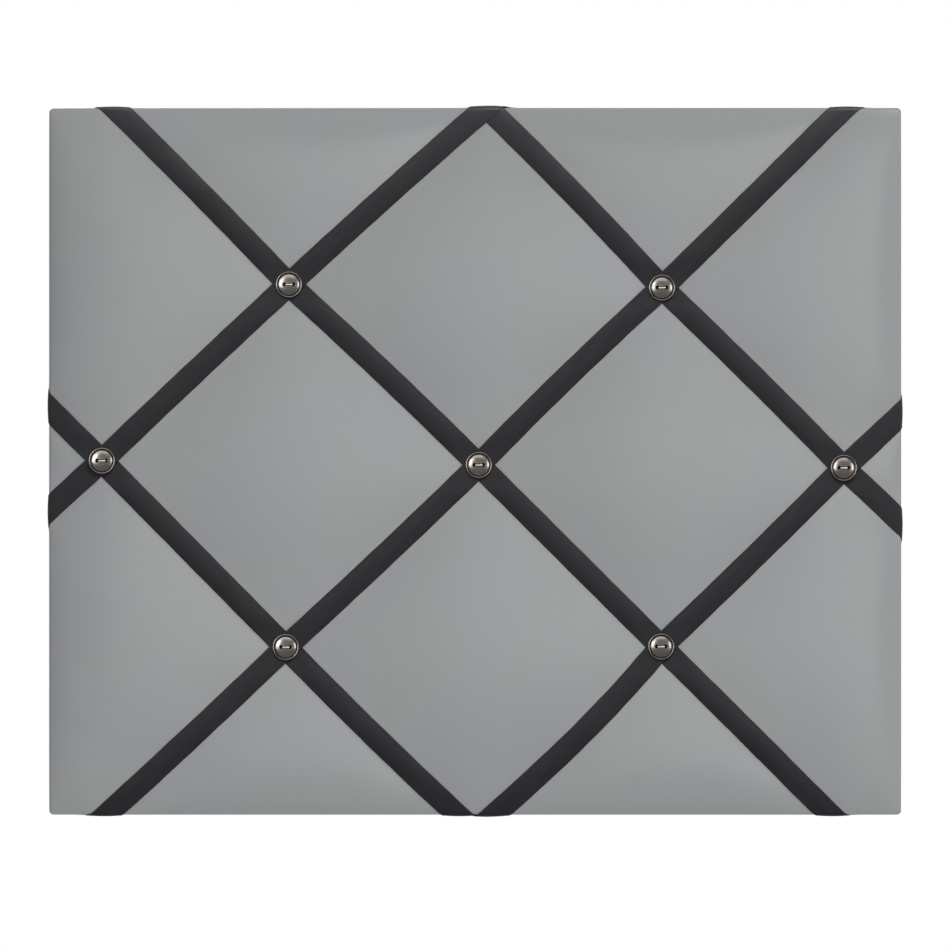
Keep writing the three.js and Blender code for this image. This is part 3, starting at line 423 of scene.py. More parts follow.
def rounded_plan(x, z):
    """Bends the corners of a straight-sided grid to the board's rounded ones."""
    side, end = edge_gaps(x, z)
    inset = np.minimum(side, end)
    far = np.maximum(side, end)
    reach = np.maximum(CORNER_ZONE - inset, TOUCH)
    radius = np.minimum(CORNER_RADIUS + CORNER_SPREAD * inset, CORNER_LIMIT * reach)
    straight = reach - radius
    run = (CORNER_ZONE - far) * (straight + math.pi / 4 * radius) / reach
    turn = np.clip(run - straight, 0, None) / radius
    new_far = np.where(turn > 0, inset + radius * (1 - np.sin(turn)), CORNER_ZONE - run)
    new_inset = inset + radius * (1 - np.cos(turn))
    in_zone = far < CORNER_ZONE
    return point_at(x, z, np.where(in_zone, new_inset, inset), np.where(in_zone, new_far, far))


def border(rows, columns):
    """Point numbers round a grid's border, against the clock as seen from the front."""
    index = np.arange(rows * columns).reshape(rows, columns)
    return np.concatenate([index[0, :-1], index[:-1, -1], index[-1, :0:-1], index[:0:-1, 0]])


def ring_at(x, z, inset):
    """The border's points moved in from the edge, keeping their share of each corner."""
    far = np.maximum(*edge_gaps(x, z))
    squeezed = CORNER_ZONE - (CORNER_ZONE - far) * (CORNER_ZONE - inset) / CORNER_ZONE
    return rounded_plan(*point_at(x, z, inset, np.where(far < CORNER_ZONE, squeezed, far)))


def skirt_profile():
    """Inset and depth of the cloth from the side's front edge to its turned-under end."""
    down_rows, turn_rows, under_rows = SKIRT_ROWS
    down = np.linspace(SIDE_FRONT, SIDE_BACK, down_rows)[1:]
    turn = np.linspace(0, math.pi / 2, turn_rows)[1:]
    under = np.linspace(BACK_ROUND, TURN_UNDER, under_rows)[1:]
    inset = np.concatenate([0 * down, BACK_ROUND * (1 - np.cos(turn)), under])
    depth = np.concatenate([down, COVER_BACK + BACK_ROUND * (1 - np.sin(turn)), 0 * under + COVER_BACK])
    return inset, depth


def cover_skirt(edge_x, edge_z, edge_depth):
    """Rows of the cover down its sides and in behind, as laid and as cut, and how long they run."""
    inner_x, inner_z = ring_at(edge_x, edge_z, 1.0)
    outer_x, outer_z = ring_at(edge_x, edge_z, 0.0)
    out = np.stack([outer_x - inner_x, outer_z - inner_z], axis=-1)
    out /= np.linalg.norm(out, axis=1)[:, None]
    from_corner, from_level = edge_gaps(edge_x, edge_z)
    along_edge = from_corner + from_level
    on_top = from_level <= TOUCH
    outward = np.where(on_top[:, None], np.stack([0 * edge_z, np.sign(edge_z)], -1),
                       np.stack([np.sign(edge_x), 0 * edge_x], -1))
    ribbon_lines = [line for line, _ in RIBBON_LINES.values()]
    insets, depths = skirt_profile()
    travel = np.cumsum(np.hypot(np.diff(insets, prepend=0), np.diff(depths, prepend=SIDE_FRONT)))
    laid = []
    cuts = []
    for inset, level, gone in zip(insets, depths, travel):
        ring_x, ring_z = ring_at(edge_x, edge_z, inset)
        cut = np.stack([edge_x, edge_z], axis=-1) + outward * gone
        back = (SIDE_FRONT - level) / (SIDE_FRONT - COVER_BACK)
        pleat_reach = PLEAT_WIDTH + PLEAT_SPREAD * back
        pleat = smooth_step(-from_corner, -pleat_reach - PLEAT_FADE, -pleat_reach + PLEAT_FADE)
        pleat = pleat * smooth_step(from_corner, 0, PLEAT_CORNER) * on_top * back
        off_ribbon = distance_to_lines(cut + outward * EDGE_SLACK, ribbon_lines)
        pressed = 1 - smooth_step(off_ribbon, *PRESS_FADE)
        move = PLEAT_STEP * pleat - PRESS * pressed * smooth_step(SIDE_FRONT - level, 0, PRESS_RAMP)
        move = move if inset < BACK_ROUND else 0 * move
        straight = np.clip((level - SIDE_BACK) / (SIDE_FRONT - SIDE_BACK), 0, 1)
        swell = UNDER_FULLNESS * (1 - pressed) * smooth_step(inset, BACK_ROUND, UNDER_SWELL)
        swell = swell * smooth_step(along_edge, *CORNER_FLAT)
        depth = level + (edge_depth - SIDE_FRONT) * straight - swell
        laid.append(np.stack([ring_x + out[:, 0] * move, -depth, ring_z + out[:, 1] * move], axis=-1))
        cuts.append(cut)
    return np.array(laid), np.array(cuts), travel[-1]


def cloth_cover(material):
    """The cover as one sheet, with the size and area that it would be cut to."""
    columns = cut_lines(HALF_WIDTH, COVER_SPACING, EDGE_LINES)
    rows = cut_lines(HALF_HEIGHT, COVER_SPACING, EDGE_LINES)
    flat_x, flat_z = np.meshgrid(columns, rows)
    x, z = rounded_plan(flat_x, flat_z)
    depth = front_depth(x, z, inset_of(flat_x, flat_z))
    front = np.stack([x, -depth, z], axis=-1).reshape(-1, 3)
    front_cut = np.stack([flat_x, flat_z], axis=-1).reshape(-1, 2)
    loop = border(len(rows), len(columns))
    edge_x, edge_z = front_cut[loop].T
    laid, cuts, skirt_run = cover_skirt(edge_x, edge_z, depth.ravel()[loop])
    below = len(front) + np.arange(laid.size // 3).reshape(-1, len(loop))
    rings = np.concatenate([loop[None], below])
    after = np.roll(rings, -1, axis=1)
    skirt_faces = np.stack([rings[:-1], rings[1:], after[1:], after[:-1]], axis=-1).reshape(-1, 4)
    cover = mesh_piece(
        "cloth_cover", np.concatenate([front, laid.reshape(-1, 3)]),
        np.concatenate([grid_faces(len(rows), len(columns)), skirt_faces]), material,
        np.concatenate([front_cut, cuts.reshape(-1, 2)]))
    side_run = skirt_run + EDGE_ALLOWANCE
    flat = (BOARD_WIDTH + 2 * side_run, BOARD_HEIGHT + 2 * side_run)
    area = flat[0] * flat[1] - 4 * side_run**2
    return cover, flat, area


def wadding_pad(material):
    columns = cut_lines(HALF_WIDTH, PAD_SPACING, PAD_EDGE_LINES)
    rows = cut_lines(HALF_HEIGHT, PAD_SPACING, PAD_EDGE_LINES)
    flat_x, flat_z = np.meshgrid(columns, rows)
    x, z = rounded_plan(flat_x, flat_z)
    x = x * (1 - 2 * PAD_INSET / BOARD_WIDTH)
    z = z * (1 - 2 * PAD_INSET / BOARD_HEIGHT)
    depth = front_depth(x, z, inset_of(x, z)) - SKIN
    front = np.stack([x, -depth, z], axis=-1).reshape(-1, 3)
    behind = front.copy()
    behind[:, 1] = -PAD_BACK
    grid = grid_faces(len(rows), len(columns))
    loop = border(len(rows), len(columns))
    after = np.roll(loop, -1)
    wall = np.stack([loop, loop + len(front), after + len(front), after], axis=-1)
    faces = np.concatenate([grid, grid[:, ::-1] + len(front), wall])
    return mesh_piece("wadding_pad", np.concatenate([front, behind]), faces, material)


# Ribbons

EDGE_ROWS = (13, 16, 7)  # rows down to the edge, round it and on behind
LATTICE_REACH = 3.2  # steps of the lattice from the middle to past the edges
LATTICE_POINTS = 12801
ROW_SPACING = 1.7
SOFTENED = 6  # rows on each side that a row is averaged with
SKEW_START = 52.0  # inset where a ribbon's rows begin to turn parallel to the edge
WANDER = ((0.05, 0.173, 1.0), (0.04, 0.41, 2.1))  # waves of a hand-cut edge: size, rate, and start for a seed
CROWN_FROM_BUTTON = (8.0, 24.0)
CROWN_FROM_EDGE = (4.0, 34.0)
CROWN_AT_EDGE = 0.35
CROSSING_FADE = (RIBBON_WIDTH / 2 + 0.3, RIBBON_WIDTH / 2 + 15.0)  # from a crossed ribbon's middle
SELVEDGE_BEAD = 0.07  # how far the woven edge stands up, and over which shares of the half width it rises
SELVEDGE_RISE = (0.88, 0.95)
SELVEDGE_ROUND = 0.16  # how far it goes down again, and over which shares
SELVEDGE_FALL = (0.965, 1)
ACROSS = np.array([-1, -0.965, -0.9, -0.78, -0.6, -0.4, -0.2, 0, 0.2, 0.4, 0.6, 0.78, 0.9, 0.965, 1])


def edge_profile(tail):
    """Inset and depth of the cloth from the flat front, round the edge, to a ribbon's end behind."""
    approach_rows, turn_rows, under_rows = EDGE_ROWS
    approach = np.linspace(EDGE_APPROACH, EDGE_ROLL, approach_rows)[:-1]
    turn = np.linspace(math.pi / 2, 0, turn_rows)
    front = np.concatenate([approach, EDGE_ROLL * (1 - np.cos(turn))])
    front_depths = turned_edge(TUFT_DEPTH - edge_drop(front), front)
    skirt_insets, skirt_depths = skirt_profile()
    kept = skirt_insets < BACK_ROUND + TOUCH
    sunk = skirt_insets[kept] + PRESS * smooth_step(SIDE_FRONT - skirt_depths[kept], 0, PRESS_RAMP)
    under = np.linspace(BACK_ROUND + PRESS, tail, under_rows)[1:]
    inset = np.concatenate([front, sunk, under])
    depth = np.concatenate([front_depths, skirt_depths[kept], 0 * under + COVER_BACK])
    gone = run_along(np.stack([inset, depth], axis=-1))
    slope_inset = np.gradient(inset, gone)
    slope_depth = np.gradient(depth, gone)
    length = np.hypot(slope_inset, slope_depth)
    return {"gone": gone, "inset": inset, "depth": depth,
            "out_inset": slope_depth / length, "out_depth": -slope_inset / length}


def ribbon_line(way, line, start, end, start_tail, end_tail):
    """Rows of a ribbon laid out flat: their middle points and directions."""
    run = np.linspace(-LATTICE_REACH, LATTICE_REACH, LATTICE_POINTS)
    x, z = lattice_point(line, -run) if way == "fall" else lattice_point(run, line)
    path = np.stack([x, z], axis=-1)
    (first_out, first_extent), (last_out, last_extent) = EDGES[start], EDGES[end]
    least = np.minimum(first_extent - path @ first_out, last_extent - path @ last_out)
    inside = np.flatnonzero(least > EDGE_APPROACH)
    path = path[inside[0]:inside[-1] + 1]
    gone = run_along(path)
    at = np.linspace(0, gone[-1], int(gone[-1] / ROW_SPACING))
    middle = np.stack([np.interp(at, gone, path[:, k]) for k in (0, 1)], axis=-1)
    wide = np.pad(middle, ((SOFTENED, SOFTENED), (0, 0)), mode="reflect", reflect_type="odd")
    weights = np.hanning(2 * SOFTENED + 3)[1:-1]
    weights /= weights.sum()
    middle = np.stack([np.convolve(wide[:, k], weights, mode="valid") for k in (0, 1)], axis=-1)
    direction = np.gradient(middle, axis=0)
    direction /= np.linalg.norm(direction, axis=1)[:, None]
    first = edge_profile(start_tail)["gone"][1:][::-1]
    last = edge_profile(end_tail)["gone"][1:]
    lead = middle[0] - direction[0] * (first / -(direction[0] @ first_out))[:, None]
    trail = middle[-1] + direction[-1] * (last / (direction[-1] @ last_out))[:, None]
    points = np.concatenate([lead, middle, trail])
    ways = np.concatenate([np.tile(direction[0], (len(lead), 1)), direction,
                           np.tile(direction[-1], (len(trail), 1))])
    return points, ways


RIBBON_LINES = {name: ribbon_line(*facts) for name, facts in RIBBONS.items()}
EDGE_WAY = edge_profile(TURN_UNDER)
# Extra length that a ribbon uses in going down to the edge
EDGE_SLACK = EDGE_WAY["gone"][np.argmin(EDGE_WAY["inset"])] - EDGE_APPROACH
BUTTON_SPOTS = {name: lattice_point(*place) for name, place in BUTTON_PLACES.items()}


def distance_to_lines(points, lines):
    """Least distance from each flat point to any of the lines, which are read at every third point."""
    least = np.full(len(points), np.inf)
    for line in lines:
        for one, other in zip(line[:-1:3], line[3::3]):
            along = other - one
            share = np.clip(((points - one) @ along) / (along @ along), 0, 1)
            least = np.minimum(least, np.linalg.norm(points - one - share[:, None] * along, axis=1))
    return least


def row_skew(middle, direction, side, edges):
    """How far each row of a ribbon leans along it, so that the rows at its ends lie along the edges."""
    skew = np.zeros(len(middle))
    for edge in edges:
        out, extent = EDGES[edge]
        near = smooth_step(-(extent - middle @ out), -SKEW_START, -EDGE_APPROACH)
        skew += near * -(side @ out) / (direction @ out)
    return skew


def ribbon_stand(points, across, way):
    """How far a ribbon's underside stands off the cloth: its crown, and its rise over a crossed ribbon."""
    x, z = points.T
    from_button = np.min([np.hypot(x - at_x, z - at_z) for at_x, at_z in BUTTON_SPOTS.values()], axis=0)
    fullness = CROWN_AT_EDGE + (1 - CROWN_AT_EDGE) * smooth_step(inset_of(x, z), *CROWN_FROM_EDGE)
    crown = RIBBON_CROWN * (1 - across**2) * fullness * smooth_step(from_button, *CROWN_FROM_BUTTON)
    lift = np.full(len(points), RIBBON_LIE)
    if way == "rise":
        under = [RIBBON_LINES[other][0] for other in RIBBONS if other.startswith("ribbon_fall")]
        crossing = 1 - smooth_step(distance_to_lines(points, under), *CROSSING_FADE)
        lift += (RIBBON_THICKNESS + 2 * RIBBON_LIE) * crossing
    return lift + crown


def bent_round(points, ends):
    """Where a ribbon's flat points come to lie on the cloth and round its edges, and the way out there."""
    x, z = points.T
    depth = channel_depth(*lattice_place(x, z), inset_of(x, z))
    position = np.stack([x, -depth, z], axis=-1)
    normal = np.tile([0.0, -1.0, 0.0], (len(points), 1))
    for edge, tail in ends:
        out, extent = EDGES[edge]
        along = out[::-1]
        profile = edge_profile(tail)
        beyond = points @ out - (extent - EDGE_APPROACH)
        bent = beyond > 0
        read = {key: np.interp(beyond[bent], profile["gone"], profile[key]) for key in profile}
        plan = along * (points[bent] @ along)[:, None] + out * (extent - read["inset"])[:, None]
        position[bent] = np.stack([plan[:, 0], -read["depth"], plan[:, 1]], axis=-1)
        turned = -out * read["out_inset"][:, None]
        normal[bent] = np.stack([turned[:, 0], -read["out_depth"], turned[:, 1]], axis=-1)
    return position, normal


def satin_ribbon(name, material, seed):
    """A ribbon laid over the quilting and bent round the board's edges, with its length."""
    way, _, start, end, start_tail, end_tail = RIBBONS[name]
    middle, direction = RIBBON_LINES[name]
    gone = run_along(middle)
    side = np.stack([-direction[:, 1], direction[:, 0]], axis=-1)
    skew = row_skew(middle, direction, side, (start, end))
    half = RIBBON_WIDTH / 2 + sum(size * np.sin(gone * rate + begin * seed) for size, rate, begin in WANDER)
    width = ACROSS * half[:, None]
    row_way = side + skew[:, None] * direction
    points = (middle[:, None, :] + width[..., None] * row_way[:, None, :]).reshape(-1, 2)
    across = np.tile(ACROSS, len(middle))
    position, normal = bent_round(points, ((start, start_tail), (end, end_tail)))
    bottom = position + normal * ribbon_stand(points, across, way)[:, None]
    selvedge = SELVEDGE_BEAD * smooth_step(abs(across), *SELVEDGE_RISE)
    selvedge -= SELVEDGE_ROUND * smooth_step(abs(across), *SELVEDGE_FALL)
    top = bottom + normal * (RIBBON_THICKNESS + selvedge)[:, None]
    count = len(ACROSS)
    shape = (len(middle), count, 3)
    rings = np.concatenate([top.reshape(shape), bottom.reshape(shape)[:, ::-1]], axis=1)
    length = gone[:, None] + ACROSS * (half * skew)[:, None]
    laid = np.stack([length, width], axis=-1)
    uv = np.concatenate([laid, laid[:, ::-1]], axis=1)
    faces = grid_faces(len(middle), 2 * count, loop=True)
    caps = []
    for base in (0, (len(middle) - 1) * 2 * count):
        for k in range(count - 1):
            caps.append([base + k, base + k + 1, base + 2 * count - 2 - k, base + 2 * count - 1 - k])
    piece = mesh_piece(name, rings.reshape(-1, 3), np.concatenate([faces, caps]), material,
                       uv.reshape(-1, 2), closed=True)
    return piece, gone[-1]


# Trees that set a form at each place and bend a wire along a path

def put(tree, kind, settings=None, inputs=None):
    """Adds a node, with its settings and with its inputs linked or set."""
    node = tree.nodes.new(kind)
    for name, value in (settings or {}).items():
        setattr(node, name, value)
    for name, value in (inputs or {}).items():
        socket = node.inputs[name]
        if isinstance(value, bpy.types.NodeSocket):
            tree.links.new(value, socket)
        else:
            socket.default_value = value
    return node


def tree_with(name, sockets):
    """A geometry tree with named inputs, the sockets that they come in by, and their identifiers."""
    tree = bpy.data.node_groups.new(name, "GeometryNodeTree")
    keys = {}
    for label, kind in [("Geometry", "NodeSocketGeometry"), *sockets]:
        keys[label] = tree.interface.new_socket(label, in_out="INPUT", socket_type=kind).identifier
    tree.interface.new_socket("Geometry", in_out="OUTPUT", socket_type="NodeSocketGeometry")
    return tree, tree.nodes.new("NodeGroupInput").outputs, keys


def set_at_each_place():
    """Sets one form at each point, turned a little about the board's depth, as a hand leaves it."""
    tree, given, keys = tree_with("set_at_each_place", [
        ("Form", "NodeSocketObject"), ("Turn", "NodeSocketFloat"), ("Seed", "NodeSocketInt"),
        ("Finish", "NodeSocketMaterial")])
    form = put(tree, "GeometryNodeObjectInfo", {}, {"Object": given["Form"]})
    least = put(tree, "ShaderNodeMath", {"operation": "MULTIPLY"}, {0: given["Turn"], 1: -1.0})
    chance = put(tree, "FunctionNodeRandomValue", {"data_type": "FLOAT"},
                 {2: least.outputs[0], 3: given["Turn"], "Seed": given["Seed"]})
    turn = put(tree, "ShaderNodeCombineXYZ", {}, {"Y": chance.outputs[1]})
    placed = put(tree, "GeometryNodeInstanceOnPoints", {}, {
        "Points": given["Geometry"], "Instance": form.outputs["Geometry"],
        "Rotation": turn.outputs["Vector"]})
    real = put(tree, "GeometryNodeRealizeInstances", {}, {"Geometry": placed.outputs["Instances"]})
    done = put(tree, "GeometryNodeSetMaterial", {}, {
        "Geometry": real.outputs["Geometry"], "Material": given["Finish"]})
    put(tree, "NodeGroupOutput", {}, {"Geometry": done.outputs["Geometry"]})
    return tree, keys


def wire_along():
    """Bends a round wire along each path."""
    tree, given, keys = tree_with("wire_along", [
        ("Wire radius", "NodeSocketFloat"), ("Sides", "NodeSocketInt"), ("Finish", "NodeSocketMaterial")])
    section = put(tree, "GeometryNodeCurvePrimitiveCircle", {"mode": "RADIUS"}, {
        "Resolution": given["Sides"], "Radius": given["Wire radius"]})
    wire = put(tree, "GeometryNodeCurveToMesh", {}, {
        "Curve": given["Geometry"], "Profile Curve": section.outputs["Curve"]})
    smooth = put(tree, "GeometryNodeSetShadeSmooth", {}, {"Geometry": wire.outputs["Mesh"]})
    real = put(tree, "GeometryNodeRealizeInstances", {}, {"Geometry": smooth.outputs["Geometry"]})
    done = put(tree, "GeometryNodeSetMaterial", {}, {
        "Geometry": real.outputs["Geometry"], "Material": given["Finish"]})
    put(tree, "NodeGroupOutput", {}, {"Geometry": done.outputs["Geometry"]})
    return tree, keys


def grown(name, source, tree_and_keys, values):
    """The plain mesh that a tree makes from a source object, as a new piece."""
    tree, keys = tree_and_keys
    grower = source.modifiers.new("grow", "NODES")
    grower.node_group = tree
    for label, value in values.items():
        grower[keys[label]] = value
    evaluated = source.evaluated_get(bpy.context.evaluated_depsgraph_get())
    mesh = bpy.data.meshes.new_from_object(evaluated)
    source.modifiers.remove(grower)
    bpy.data.objects.remove(source)
    mesh.name = name
    return add_object(name, mesh)


def points_object(points):
    """Bare points, ready for a form to be set at each."""
    mesh = bpy.data.meshes.new("places")
    mesh.from_pydata((np.asarray(points) * MM).tolist(), [], [])
    return add_object("places", mesh)


def path_object(paths):
    """Closed paths, ready for a wire to be bent along them."""
    curve = bpy.data.curves.new("paths", "CURVE")
    curve.dimensions = "3D"
    for path in paths:
        spline = curve.splines.new("POLY")
        spline.points.add(len(path) - 1)
        weighted = np.concatenate([np.asarray(path) * MM, np.ones((len(path), 1))], axis=1)
        spline.points.foreach_set("co", weighted.astype(np.float32).ravel())
        spline.use_cyclic_u = True
    return add_object("paths", curve)


# Buttons and threads

BUTTON_SIDES = 128
BUTTON_HEIGHT = 2.9
BUTTON_CHAMFER = 0.25
POLE = 0.06  # radius of the small flat that closes a turned form
DOME_RADIUS = 6.1
DOME_FOOT = 1.25
DOME_OVERRUN = 0.12  # the dome's curve would end so far outside it, so its side stays steep
DOME_CURVE = (2.3, 0.6)
GROOVE_OUTSIDE = 6.52
GROOVE_MIDDLE = (DOME_RADIUS + GROOVE_OUTSIDE) / 2
GROOVE_FLOOR = 0.75
RIM_BASE = 1.0
RIM_MIDDLE = 6.96
RIM_ROUND = 0.44
EYE_LENGTH = 6.2
EYE_WIDTH = 2.2
EYE_DEPTH = 0.5
EYE_SLOPE = 0.9
BEAD_HEIGHT = 0.07
BEAD_WIDTH = 0.16
STITCH_HOLE = 1.15
HOLE_SLOPE = 0.2
HOLE_DEPTH = 1.1
GROOVE_DARK = (-0.5, -0.15)  # minus the distance from the groove's middle, where its tarnish thickens
EYE_DARK = (-0.05, 0.25)  # inside the eye's outline, where its tarnish and painted shade thicken
# Darkness laid in the eye recess: partly tarnish, partly painted shade of the recess
EYE_TARNISH_AND_PAINTED_SHADE = 0.25
BACK_TARNISH = 0.3


def eye_reach(x, z):
    """How far inside the fish-eye recess's pointed outline a point lies."""
    arc = (EYE_LENGTH**2 + EYE_WIDTH**2) / (4 * EYE_WIDTH)
    return arc - np.hypot(x, abs(z) + arc - EYE_WIDTH / 2)


def button_height(x, z):
    """Height of the button's face and how dark it is there: tarnish in the groove, tarnish and painted shade
    in the eye, painted shade in the stitch holes.
    """
    radius = np.hypot(x, z)
    share = np.clip(radius / (DOME_RADIUS + DOME_OVERRUN), 0, 1)
    inner, outer = DOME_CURVE
    dome = DOME_FOOT + (BUTTON_HEIGHT - DOME_FOOT) * np.power(1 - np.power(share, inner), outer)
    rim_share = np.clip((radius - RIM_MIDDLE) / RIM_ROUND, -1, 1)
    rim = RIM_BASE + RIM_ROUND * np.sqrt(np.clip(1 - rim_share**2, 0, 1))
    height = np.where(radius < DOME_RADIUS, dome, np.where(radius > GROOVE_OUTSIDE, rim, GROOVE_FLOOR))
    inside = eye_reach(x, z)
    recess = EYE_DEPTH * smooth_step(inside, 0, EYE_SLOPE)
    bead = BEAD_HEIGHT * np.exp(-(inside / BEAD_WIDTH) ** 2)
    off_hole = np.hypot(abs(x) - STITCH_SPACING / 2, z)
    hole = smooth_step(-off_hole, -STITCH_HOLE, -STITCH_HOLE + HOLE_SLOPE)
    face = radius < DOME_RADIUS
    height = height + face * (bead - recess - HOLE_DEPTH * hole)
    in_groove = smooth_step(-abs(radius - GROOVE_MIDDLE), *GROOVE_DARK)
    in_eye = EYE_TARNISH_AND_PAINTED_SHADE * smooth_step(inside, *EYE_DARK)
    # The stitch holes are painted near-black as painted shade, the eye is darkened by tarnish and painted
    # shade, and the groove by tarnish
    return height, np.maximum.reduce([in_groove, face * in_eye, face * hole])


def button_form(material):
    """A domed two-hole button, its rings closest at the eye and at the dome's foot."""
    dome = np.concatenate([np.linspace(POLE, 3.5, 34), np.linspace(3.7, 5.75, 11), [5.88, 5.99, 6.06, 6.099]])
    groove = np.linspace(DOME_RADIUS + 0.02, GROOVE_OUTSIDE, 6)
    rim = RIM_MIDDLE - RIM_ROUND * np.cos(np.linspace(0.12, 2.7, 13))
    radii = np.concatenate([dome, groove, rim])
    angle = np.arange(BUTTON_SIDES) / BUTTON_SIDES * 2 * math.pi
    x = radii[:, None] * np.cos(angle)
    z = radii[:, None] * np.sin(angle)
    height, tarnish_and_painted_shade = button_height(x, z)
    rows = [np.stack([x, -height, z], axis=-1)]
    shades = [tarnish_and_painted_shade]
    for radius, level in ((BUTTON_RADIUS, RIM_BASE), (BUTTON_RADIUS, BUTTON_CHAMFER),
                          (BUTTON_RADIUS - BUTTON_CHAMFER, 0.0), (POLE, 0.0)):
        rows.append(np.stack([radius * np.cos(angle), 0 * angle - level, radius * np.sin(angle)], -1)[None])
        shades.append(np.full((1, BUTTON_SIDES), BACK_TARNISH))
    rows = np.concatenate(rows)
    shades = np.concatenate(shades)
    faces = turned_faces(len(rows), BUTTON_SIDES)
    form = mesh_piece("button_form", rows.reshape(-1, 3), faces, material, closed=True)
    # The button's darkness, tarnish and painted shade together, carried to the finish
    layer = form.data.attributes.new("tarnish_and_painted_shade", "FLOAT", "POINT")
    layer.data.foreach_set("value", shades.ravel().astype(np.float32))
    return form


PLY_RADIUS = 0.23
PLY_OFFSET = 0.19  # of each ply from the thread's middle
PLY_PITCH = 1.5  # length of one twist
PLY_SIDES = 8
THREAD_BEND = 1.3
THREAD_POINTS = 190
THREAD_LIFT = 0.2  # how far it stands off the eye's floor
THREAD_SLACK = 0.3  # and off the base board's back
THREAD_REACH = 1.8  # from the button's middle to where the thread goes down through it


def thread_paths(spots):
    """Two plies twisted together in a loop through each button's holes and round behind the board."""
    front = BUTTON_BACK + BUTTON_HEIGHT - EYE_DEPTH + PLY_RADIUS + PLY_OFFSET + THREAD_LIFT
    back = BASE_BACK - PLY_RADIUS - PLY_OFFSET - THREAD_SLACK
    corner = np.linspace(0, math.pi / 2, 9)
    path = []
    for quarter, (hand, level) in enumerate(((1, front), (-1, front), (-1, back), (1, back))):
        angle = corner + quarter * math.pi / 2
        centre_x = hand * (THREAD_REACH - THREAD_BEND)
        centre_d = level - math.copysign(THREAD_BEND, level - (front + back) / 2)
        bend = np.stack([centre_x + THREAD_BEND * np.cos(angle), centre_d + THREAD_BEND * np.sin(angle)], -1)
        path.append(bend)
    path = np.concatenate(path)
    path = np.concatenate([path, path[:1]])
    gone = run_along(path)
    at = np.linspace(0, gone[-1], THREAD_POINTS, endpoint=False)
    loop = np.stack([np.interp(at, gone, path[:, k]) for k in (0, 1)], axis=-1)
    heading = np.roll(loop, -1, axis=0) - np.roll(loop, 1, axis=0)
    heading /= np.linalg.norm(heading, axis=1)[:, None]
    out = np.stack([heading[:, 1], -heading[:, 0]], axis=-1)
    twist = at / gone[-1] * 2 * math.pi * round(gone[-1] / PLY_PITCH)
    paths = []
    for spot_x, spot_z in spots:
        for ply in (0, math.pi):
            in_plane = loop + out * (PLY_OFFSET * np.cos(twist + ply))[:, None]
            lift = PLY_OFFSET * np.sin(twist + ply)
            paths.append(np.stack([spot_x + in_plane[:, 0], -in_plane[:, 1], spot_z + lift], axis=-1))
    return paths


# Hangers

def strap_form(material):
    """A steel strap with a round end, rolled round the ring's straight bar."""
    end_rows, flat_rows, roll_rows = STRAP_ROWS
    swing = np.radians(np.linspace(STRAP_TIP, 0, end_rows))
    low = -SCREW_DROP - STRAP_WIDTH / 2 * np.sin(swing)
    half = STRAP_WIDTH / 2 * np.cos(swing)
    flat = np.linspace(-SCREW_DROP, 0, flat_rows)[1:]
    roll = np.linspace(-math.pi / 2, STRAP_END, roll_rows)[1:]
    radius = RING_AXIS - STRAP_LIE - STRAP_THICKNESS / 2
    along = np.concatenate([low, flat, radius * np.cos(roll)])
    behind = np.concatenate([np.full(len(low) + len(flat), STRAP_LIE + STRAP_THICKNESS / 2),
                             RING_AXIS + radius * np.sin(roll)])
    half = np.concatenate([half, np.full(len(flat) + len(roll), STRAP_WIDTH / 2)])
    across = np.linspace(-1, 1, STRAP_COLUMNS) * half[:, None]
    points = np.stack(np.broadcast_arrays(across, behind[:, None], along[:, None]), axis=-1)
    faces = grid_faces(len(along), STRAP_COLUMNS)
    form = mesh_piece("strap_form", points.reshape(-1, 3), faces, material)
    wall = form.modifiers.new("wall", "SOLIDIFY")
    wall.thickness = STRAP_THICKNESS * MM
    wall.offset = 0
    edge = form.modifiers.new("edge", "BEVEL")
    edge.width = STRAP_EASE * MM
    edge.segments = 2
    edge.limit_method = "ANGLE"
    edge.angle_limit = STRAP_SHARP
    return form


def screw_form(material):
    """A pan-head wood screw with a cross slot and a thread on its shank."""
    angle = np.arange(SCREW_SIDES) / SCREW_SIDES * 2 * math.pi
    levels = np.linspace(0, -SHANK_LENGTH, SCREW_ROWS)
    taper = np.minimum(1, (SHANK_LENGTH + POINT_BLUNT + levels) / POINT_LENGTH)
    crest = 0.5 + 0.5 * np.cos(2 * math.pi * levels[:, None] / SCREW_PITCH + angle)
    shank = taper[:, None] * (SHANK_RADIUS + SCREW_THREAD * crest)
    head, head_levels = np.array(SCREW_HEAD).T
    radius = np.concatenate([head[:, None] + 0 * angle, shank])
    height = np.concatenate([head_levels, levels - SHANK_GAP])[:, None] + 0 * angle
    points = np.stack([radius * np.cos(angle), height, radius * np.sin(angle)], axis=-1)
    faces = turned_faces(len(points), SCREW_SIDES)
    form = mesh_piece("screw_form", points.reshape(-1, 3), faces, material, closed=True)
    bars = []
    for width, depth in ((SLOT_LENGTH, SLOT_WIDTH), (SLOT_WIDTH, SLOT_LENGTH)):
        corners = [(x * width / 2, level, z * depth / 2) for level in SLOT_LEVELS for x, z in SQUARE]
        box = [(0, 1, 2, 3), (4, 5, 6, 7), (0, 1, 5, 4), (1, 2, 6, 5), (2, 3, 7, 6), (3, 0, 4, 7)]
        bars.append(mesh_piece("slot_bar", corners, box, material, closed=True))
        cut = form.modifiers.new("slot", "BOOLEAN")
        cut.operation = "DIFFERENCE"
        cut.solver = "EXACT"
        cut.object = bars[-1]
    return form, bars


